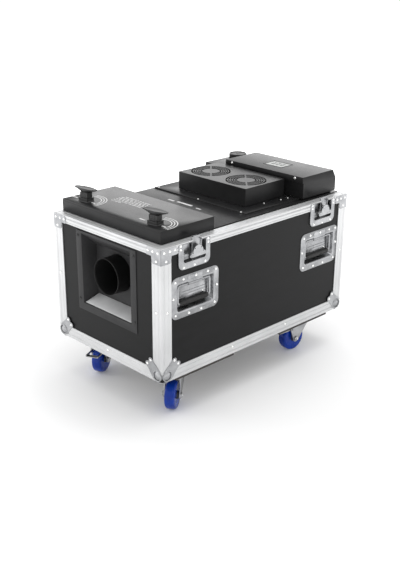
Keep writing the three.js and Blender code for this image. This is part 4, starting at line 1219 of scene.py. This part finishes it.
# %% Outlet
refine("outlet_recess", bezel_paint, 0.7, "outlet_frame")
refine("drip_tray", rolled, 0.25, "tray_sheet")
low, high = span("outlet_duct")
duct_r, duct_z = (high.x - low.x) / 2, (low.z + high.z) / 2
duct = bmesh.new()
turned(duct, [
    (duct_r - 2, low.y + 0.6), (duct_r - 1.4, low.y), (duct_r - 0.4, low.y), (duct_r, low.y + 0.7),
    (duct_r, low.y + 5), (duct_r - 0.7, low.y + 6), (duct_r - 0.7, high.y), (duct_r - 2.2, high.y),
    (duct_r - 2.2, low.y + 6), (duct_r - 2, low.y + 0.6),
], "y", (0, duct_z), 128)
piece("duct_tube", duct, duct_black, replaces=("outlet_duct",), sharp=50)
bezel_low, bezel_high = span("outlet_recess")
bezel_screws = [
    (Vector((sx * (bezel_high.x - 9), bezel_low.y, z)), Vector((0, -1, 0)))
    for sx in (-1, 1) for z in (bezel_high.z - 16, bezel_low.z + 34)
]
heads("outlet_screws", SCREW, 3.8, bezel_screws, black_plastic)

# %% [markdown]
# ## Covers
# The covers are folded boxes of sheet steel. The CAD shape is right, so it is merged and bevelled to the
# radius of a fold. The front cover is closed by a lid whose edge shows as a fine line just below the top.

# %% Front cover, deck and tank housing
refine("front_cover", powder, 1.1, "front_cover_shell", 3)
refine("deck", powder, 0.6, "deck_sheet")
refine("tank_housing", powder, 1.1, "tank_housing_shell", 3)
refine("control_box", powder, 1.1, "control_box_shell", 3)

deck_screws = []
deck_top = span("deck")[1].z
for x, y in ((-25, 396), (162, 392), (-211, 398), (131, 492), (146, 512), (128, 599), (156, 580), (158, 611)):
    deck_screws.append((Vector((x, y - HALF_Y, deck_top)), Vector((0, 0, 1))))
heads("deck_screws", SCREW, 3.2, deck_screws, bright_steel)

# %% [markdown]
# ## Fans
# Each fan looks through a grille cut in the cover: rings round a plain disc, held by four spokes. Rings
# differ only in radius, so a tree makes one circle for each of a row of points, scaled by its index,
# and gives all of them the same flat section.

# %% The grille tree
def grille_tree():
    tree, inp, finish = new_tree("grille", [
        ("Points", "NodeSocketGeometry", True), ("Rings", "NodeSocketInt", True),
        ("First radius", "NodeSocketFloat", True), ("Pitch", "NodeSocketFloat", True),
        ("Width", "NodeSocketFloat", True), ("Thickness", "NodeSocketFloat", True),
        ("Material", "NodeSocketMaterial", True), ("Geometry", "NodeSocketGeometry", False),
    ])
    start = Signal(tree)
    row = start.node("GeometryNodeMeshLine", None, {"Count": inp["Rings"], "Offset": (0, 0, 0)})
    index = start.node("GeometryNodeInputIndex")
    radius = inp["First radius"] + index * inp["Pitch"]
    circle = start.node("GeometryNodeCurvePrimitiveCircle", None, {"Resolution": 72, "Radius": 1.0})
    circles = start.node("GeometryNodeInstanceOnPoints", None, {
        "Points": row, "Instance": circle, "Scale": radius,
    })
    real = circles.node("GeometryNodeRealizeInstances", None, {"Geometry": circles})
    section = start.node("GeometryNodeCurvePrimitiveQuadrilateral", None, {
        "Width": inp["Width"], "Height": inp["Thickness"],
    })
    bars = start.node("GeometryNodeCurveToMesh", None, {
        "Curve": real, "Profile Curve": section, "Fill Caps": True,
    })
    placed = start.node("GeometryNodeInstanceOnPoints", None, {"Points": inp["Points"], "Instance": bars})
    return close_tree(tree, finish, placed, inp["Material"])


GRILLE = grille_tree()

# %% Fan cover with its grilles
FAN_HOLE, FAN_DISC, FAN_RINGS, SHEET = 64.5, 29.0, 4, 1.5
low, high = span("fan_cover")
fan_places = [Vector(JOINT[f"fan_spin_{side}"]["pos_m"]) / MM for side in ("left", "right")]


def fan_cover_shell():
    shape = bmesh.new()
    block(shape, low, high)
    knife = bmesh.new()
    block(knife, (low.x + SHEET, low.y + SHEET, low.z - 1), (high.x - SHEET, high.y - SHEET, high.z - SHEET))
    for centre in fan_places:
        turned(knife, [(FAN_HOLE, high.z - 9), (FAN_HOLE, high.z + 3)], "z", (centre.x, centre.y), 72)
    return shape, knife


shell, knife = fan_cover_shell()
shell = subtract(shell, knife)
for centre in fan_places:
    turned(shell, [(0, high.z - SHEET), (FAN_DISC, high.z - SHEET), (FAN_DISC, high.z), (0, high.z)], "z",
           (centre.x, centre.y), 48)
    for k in range(4):
        t = math.radians(45 + 90 * k)
        along, aside = Vector((math.cos(t), math.sin(t), 0)), Vector((-math.sin(t), math.cos(t), 0))
        flat = Vector((centre.x, centre.y, 0))
        ends = (FAN_DISC - 2, FAN_HOLE + 2)
        outline = [flat + along * r + aside * w for r, w in
                   ((ends[0], -2.6), (ends[1], -2.6), (ends[1], 2.6), (ends[0], 2.6))]
        prism(shell, [(p.x, p.y) for p in outline], "z", high.z - SHEET + 0.03, high.z - 0.03)
    motor = [(0, -18), (19, -18), (21, -16), (21, -1.6), (0, -1.6)]
    turned(shell, [(r, high.z + depth) for r, depth in motor], "z", (centre.x, centre.y), 40)
piece("fan_cover_shell", shell, powder, replaces=("fan_cover",), bevel=0.5)
GRILLE_BAR = 2.5
pitch = (FAN_HOLE - FAN_DISC) / (FAN_RINGS + 1)
grille_points = [(Vector((c.x, c.y, high.z - SHEET / 2)), Vector((0, 0, 1))) for c in fan_places]
realise("fan_grilles", GRILLE, {
    "Rings": FAN_RINGS, "First radius": FAN_DISC + pitch, "Pitch": pitch, "Width": GRILLE_BAR,
    "Thickness": SHEET,
}, powder, "case", grille_points)

# %% [markdown]
# A rotor is a hub with seven swept blades. One blade is a thin curved strip, and the ring tree copies it.

# %% Rotors
def fan_blade(shape):
    """One blade, drawn where the ring puts it: +X points away from the hub."""
    rows = []
    for side in (-0.8, 0.8):
        for i in range(7):
            reach = -6 + 38 * i / 6
            lean = math.radians(38 - 1.6 * i)
            half = 9 + 1.1 * i
            sweep = 0.006 * (reach + 6) ** 2
            column = []
            for k in range(5):
                w = half * (k / 2 - 1)
                curve = 2.2 * (1 - (k / 2 - 1) ** 2)
                rise = w * math.sin(lean) * 0.72 + curve + side
                column.append(Vector((reach, w * math.cos(lean) + sweep, rise)))
            rows.append(column)
    loft(shape, [rows[i] + rows[i + 7][::-1] for i in range(7)])


BLADE = stamp("blade", fan_blade)
for name, centre in zip(("left", "right"), fan_places):
    node = f"fan_rotor_{name}"
    rotor_low, rotor_high = span(node)
    hub = bmesh.new()
    mid = (rotor_low.z + rotor_high.z) / 2
    hub_profile = [(4.3, -9), (20, -9), (20.5, 6), (19, 9), (4.3, 9), (4.3, -9)]
    turned(hub, [(r, mid + depth) for r, depth in hub_profile], "z", (centre.x, centre.y), 48)
    piece(f"rotor_hub_{name}", hub, black_plastic, node, (node,), sharp=40)
    ring_of(f"rotor_blades_{name}", BLADE, 7, 24, (centre.x, centre.y, mid), (0, 0, 1), black_plastic, node)

# %% [markdown]
# ## Caps
# The T-bar caps are moulded. The bar is a long lens on top that tapers down to a narrow stem, so it is a
# loft of lens outlines that shrink. The screw cap is turned, with grips copied round it.

# %% T-bar caps
def lens(half_long, half_wide, steps=10):
    """A flat lens, pointed at its two ends, with square tips a few millimetres wide."""
    tip = 4.5
    points = []
    for sign in (1, -1):
        for i in range(steps + 1):
            t = -1 + 2 * i / steps
            width = tip + (half_wide - tip) * (1 - t * t)
            points.append((sign * t * half_long, -sign * width))
    return points


for side in ("left", "right"):
    node = f"filler_cap_{side}"
    low, high = span(node)
    pos = Vector(JOINT[f"filler_turn_{side}"]["pos_m"]) / MM
    seat, top = pos.z, high.z
    place = Matrix.Translation((pos.x, pos.y, 0)) @ Matrix.Rotation(math.radians(7.5), 4, "Z")
    cap = bmesh.new()
    levels = [(14.4, 9.5, top - 15), (16, 10.2, top - 13), (20, 11.4, top - 10.5), (27, 12.8, top - 8),
              (37, 13.8, top - 5.2), (42.4, 14, top - 3.6), (43, 14, top - 2.8), (43, 14, top - 0.9),
              (42.2, 13.5, top - 0.3), (40.5, 12.6, top - 0.2), (38, 11.4, top - 0.5)]
    loft(cap, [[Vector((u, v, z)) for u, v in lens(a, b)] for a, b, z in levels])
    stem = [(15, -11, 11, 2.5, seat), (15, -11, 11, 2.5, seat + 1.5), (14, -10, 10, 2.5, seat + 2.2),
            (14, -10, 10, 2.5, top - 13)]
    loft(cap, [[Vector((u, v, z)) for u, v in rounded(w, lo, hi, r)] for w, lo, hi, r, z in stem])
    for u in (-13.4, -4.5, 4.5, 13.4):
        block(cap, (u - 1.3, -10.9, seat + 1), (u + 1.3, 10.9, top - 12.5))
    for v in (-9.6, 9.6):
        block(cap, (-14.9, v - 1.3, seat + 1), (14.9, v + 1.3, seat + 3.4))
    plug = seat - 20
    turned(cap, [(0, plug), (8.2, plug), (9.0, plug + 1.5), (9.0, seat + 1), (0, seat + 1)], "z", (0, 0), 32)
    cap.transform(place)
    piece(f"tee_cap_{side}", cap, black_plastic, node, (node,), bevel=0.4)
    collar = bmesh.new()
    collar_top = seat - 0.25
    lid = collar_top - 11
    neck = 12.0
    sections = (
        (neck, neck, neck - 0.01, collar_top), (17.2, 13.2, 2.5, collar_top),
        (18.1, 14.1, 3, collar_top - 0.9),
        (18.2, 14.2, 3, lid + 2.4), (19.6, 15.6, 4, lid + 1.4), (20.2, 16.2, 4, lid + 0.1),
        (neck, neck, neck - 0.01, lid + 0.1), (neck, neck, neck - 0.01, collar_top),
    )
    loft(collar, [
        [Vector((u, v, z)) for u, v in rounded(w, -h, h, r)] for w, h, r, z in sections
    ], close=False)
    collar.transform(place)
    piece(f"collar_{side}", collar, black_plastic, bevel=0.3)

# %% [markdown]
# The covers are screen printed: marks for the two ends of a cap's quarter turn, arcs between them, and
# rows of instructions. Print is modelled as very thin raised shapes, so it needs no image. The rows
# are plain dashes of uneven length.

# %% Print on the front cover and the deck
PRINT_T = 0.12
dice = random.Random(7)
COLLAR_H = 11
lid_top = span("front_cover")[1].z - COLLAR_H
marks = bmesh.new()
for side in ("left", "right"):
    pos = Vector(JOINT[f"filler_turn_{side}"]["pos_m"]) / MM
    for x0, x1, y0, y1 in ((-67, -43, -3, 2.5), (26, 46, -3, 2.5)):
        block(marks, (pos.x + x0, pos.y + y0, lid_top), (pos.x + x1, pos.y + y1, lid_top + PRINT_T))
    for r in (45, 53, 61):
        outer, inner = arc(pos.x, pos.y, r + 1.5, -12, 112, 24), arc(pos.x, pos.y, r - 1.5, -12, 112, 24)
        for i in range(24):
            quad = [outer[i], outer[i + 1], inner[i + 1], inner[i]]
            prism(marks, quad, "z", lid_top, lid_top + PRINT_T)
for row in range(6):
    x, y = -118 + (8 if row == 5 else 0), 122 + 10 * row - HALF_Y
    stop = -70 if row == 0 else 6
    while x < stop:
        length = dice.uniform(7, 19)
        block(marks, (x, y, lid_top), (min(x + length, stop), y + 3.6, lid_top + PRINT_T))
        x += length + dice.uniform(2.4, 4)
deck_low_top = span("deck")[1].z - 3.7
for x0, x1, y0, width in ((-96, -70, 331, 7), (-58, 8, 333, 9), (32, 52, 328, 6)):
    block(marks, (x0, y0 - HALF_Y, deck_low_top), (x1, y0 + width - HALF_Y, deck_low_top + PRINT_T))
piece("cover_print", marks, print_white, sharp=60)

# %% [markdown]
# The lid of the front cover is a shallow tray, so a dark joint runs round it just under the top, with
# the edge of the lid above it.

# %% Joint under the lid
cover_low, cover_high = span("front_cover")
cover_mid, cover_half = (cover_low + cover_high) / 2, (cover_high - cover_low) / 2
JOINT_LINE = {"below_top": 5.0, "width": 1.2, "out": 0.1, "in": 0.5, "corner": 1.2}


def lid_line(out, below):
    """The outline of the cover, moved outwards, at a height below the top of the lid."""
    corners_round = rounded(cover_half.x + out, -cover_half.y - out, cover_half.y + out, JOINT_LINE["corner"])
    return [Vector((cover_mid.x + u, cover_mid.y + v, lid_top - below)) for u, v in corners_round]


line_high, line_low = JOINT_LINE["below_top"], JOINT_LINE["below_top"] + JOINT_LINE["width"]
joint = bmesh.new()
loft(joint, [lid_line(out, below) for out, below in (
    (JOINT_LINE["out"], line_high), (JOINT_LINE["out"], line_low), (-JOINT_LINE["in"], line_low),
    (-JOINT_LINE["in"], line_high), (JOINT_LINE["out"], line_high),
)], close=False)
piece("lid_joint", joint, duct_black)

# %% Screw cap with its grips
node = "tank_cap"
low, high = span(node)
centre = ((low.x + high.x) / 2, (low.y + high.y) / 2)
cap_r = (high.x - low.x) / 2
foot = high.z - 20
cap = bmesh.new()
turned(cap, [
    (0, low.z), (15, low.z), (15.7, low.z + 1), (15.7, foot + 0.5),
    (cap_r - 1.6, foot + 0.5), (cap_r - 1.2, foot + 1), (cap_r - 1.2, high.z - 3),
    (cap_r - 0.4, high.z - 2.4), (cap_r - 0.4, high.z - 0.7), (cap_r - 1.2, high.z),
    (cap_r - 4, high.z), (cap_r - 5, high.z - 1.6), (6, high.z - 2.2), (5, high.z - 1.2), (0, high.z - 1.2),
], "z", centre, 96)
piece("screw_cap", cap, black_plastic, node, (node,), sharp=40)
CAP_RIB = stamp("cap_rib", lambda shape: block(shape, (-1, -0.8, 0), (0.9, 0.8, 15.5)))
ring_of("screw_cap_grips", CAP_RIB, 40, cap_r - 1, (*centre, foot + 1), (0, 0, 1), black_plastic, node)

# %% [markdown]
# ## Control box fittings
# Two bright screws hold its lip. At the back are the display window, four keys, the power inlet and
# two round sockets.

# %% Control box fittings
low, high = span("control_box")
front_y = low.y
lip_screws = [(Vector((x, front_y, high.z - 7)), Vector((0, -1, 0))) for x in (low.x + 30, high.x - 32)]
heads("lip_screws", SCREW, 4.4, lip_screws, bright_steel)
for i in range(4):
    refine(f"menu_button_{i + 1}", black_plastic, 0.5, f"key_{i + 1}")
button_low, button_high = span("menu_button_4")
window = bmesh.new()
window_x = button_low.x - 58
block(window, (window_x, high.y - 0.2, button_low.z - 6), (window_x + 48, high.y + 0.9, button_high.z + 6))
piece("display_frame", window, black_plastic, bevel=0.6)
glass = bmesh.new()
glass_low, glass_high = button_low.z - 2.5, button_high.z + 2.5
block(glass, (window_x + 4, high.y + 0.5, glass_low), (window_x + 44, high.y + 1.1, glass_high))
piece("display_window", glass, glass_dark, bevel=0.15)

# %% [markdown]
# A small display lies on top of the control box: a dark frame, a pale liquid crystal window and three columns
# of plain dark bars.

# %% Display on top
top = span("control_box")[1].z
display = bmesh.new()
x0, x1, y0, y1 = -8, 72, 676 - HALF_Y, 734 - HALF_Y
for low_corner, high_corner in (
    ((x0, y0, top - 0.4), (x1, y0 + 3, top + 0.7)), ((x0, y1 - 5, top - 0.4), (x1, y1, top + 0.9)),
    ((x0, y0, top - 0.4), (x0 + 5, y1, top + 0.9)), ((x1 - 3, y0, top - 0.4), (x1, y1, top + 0.7)),
):
    block(display, low_corner, high_corner)
piece("top_display_frame", display, black_plastic, bevel=0.25)
crystal = bmesh.new()
block(crystal, (x0 + 4, y0 + 2, top - 0.2), (x1 - 2, y1 - 4, top + 0.25))
piece("top_display_window", crystal, crystal_grey)
segments = bmesh.new()
for k in range(3):
    x = x0 + 20 + 18 * k
    for a, b, c, d in ((0, 10, 0, 5), (0, 10, 9, 13), (0, 10, 17, 22)):
        block(segments, (x + a, y0 + 18 + c, top + 0.2), (x + b, y0 + 18 + d, top + 0.34))
piece("top_display_segments", segments, duct_black)

# %% Stamps taken away, and the end
for thing in STAMPS:
    bpy.data.objects.remove(thing)
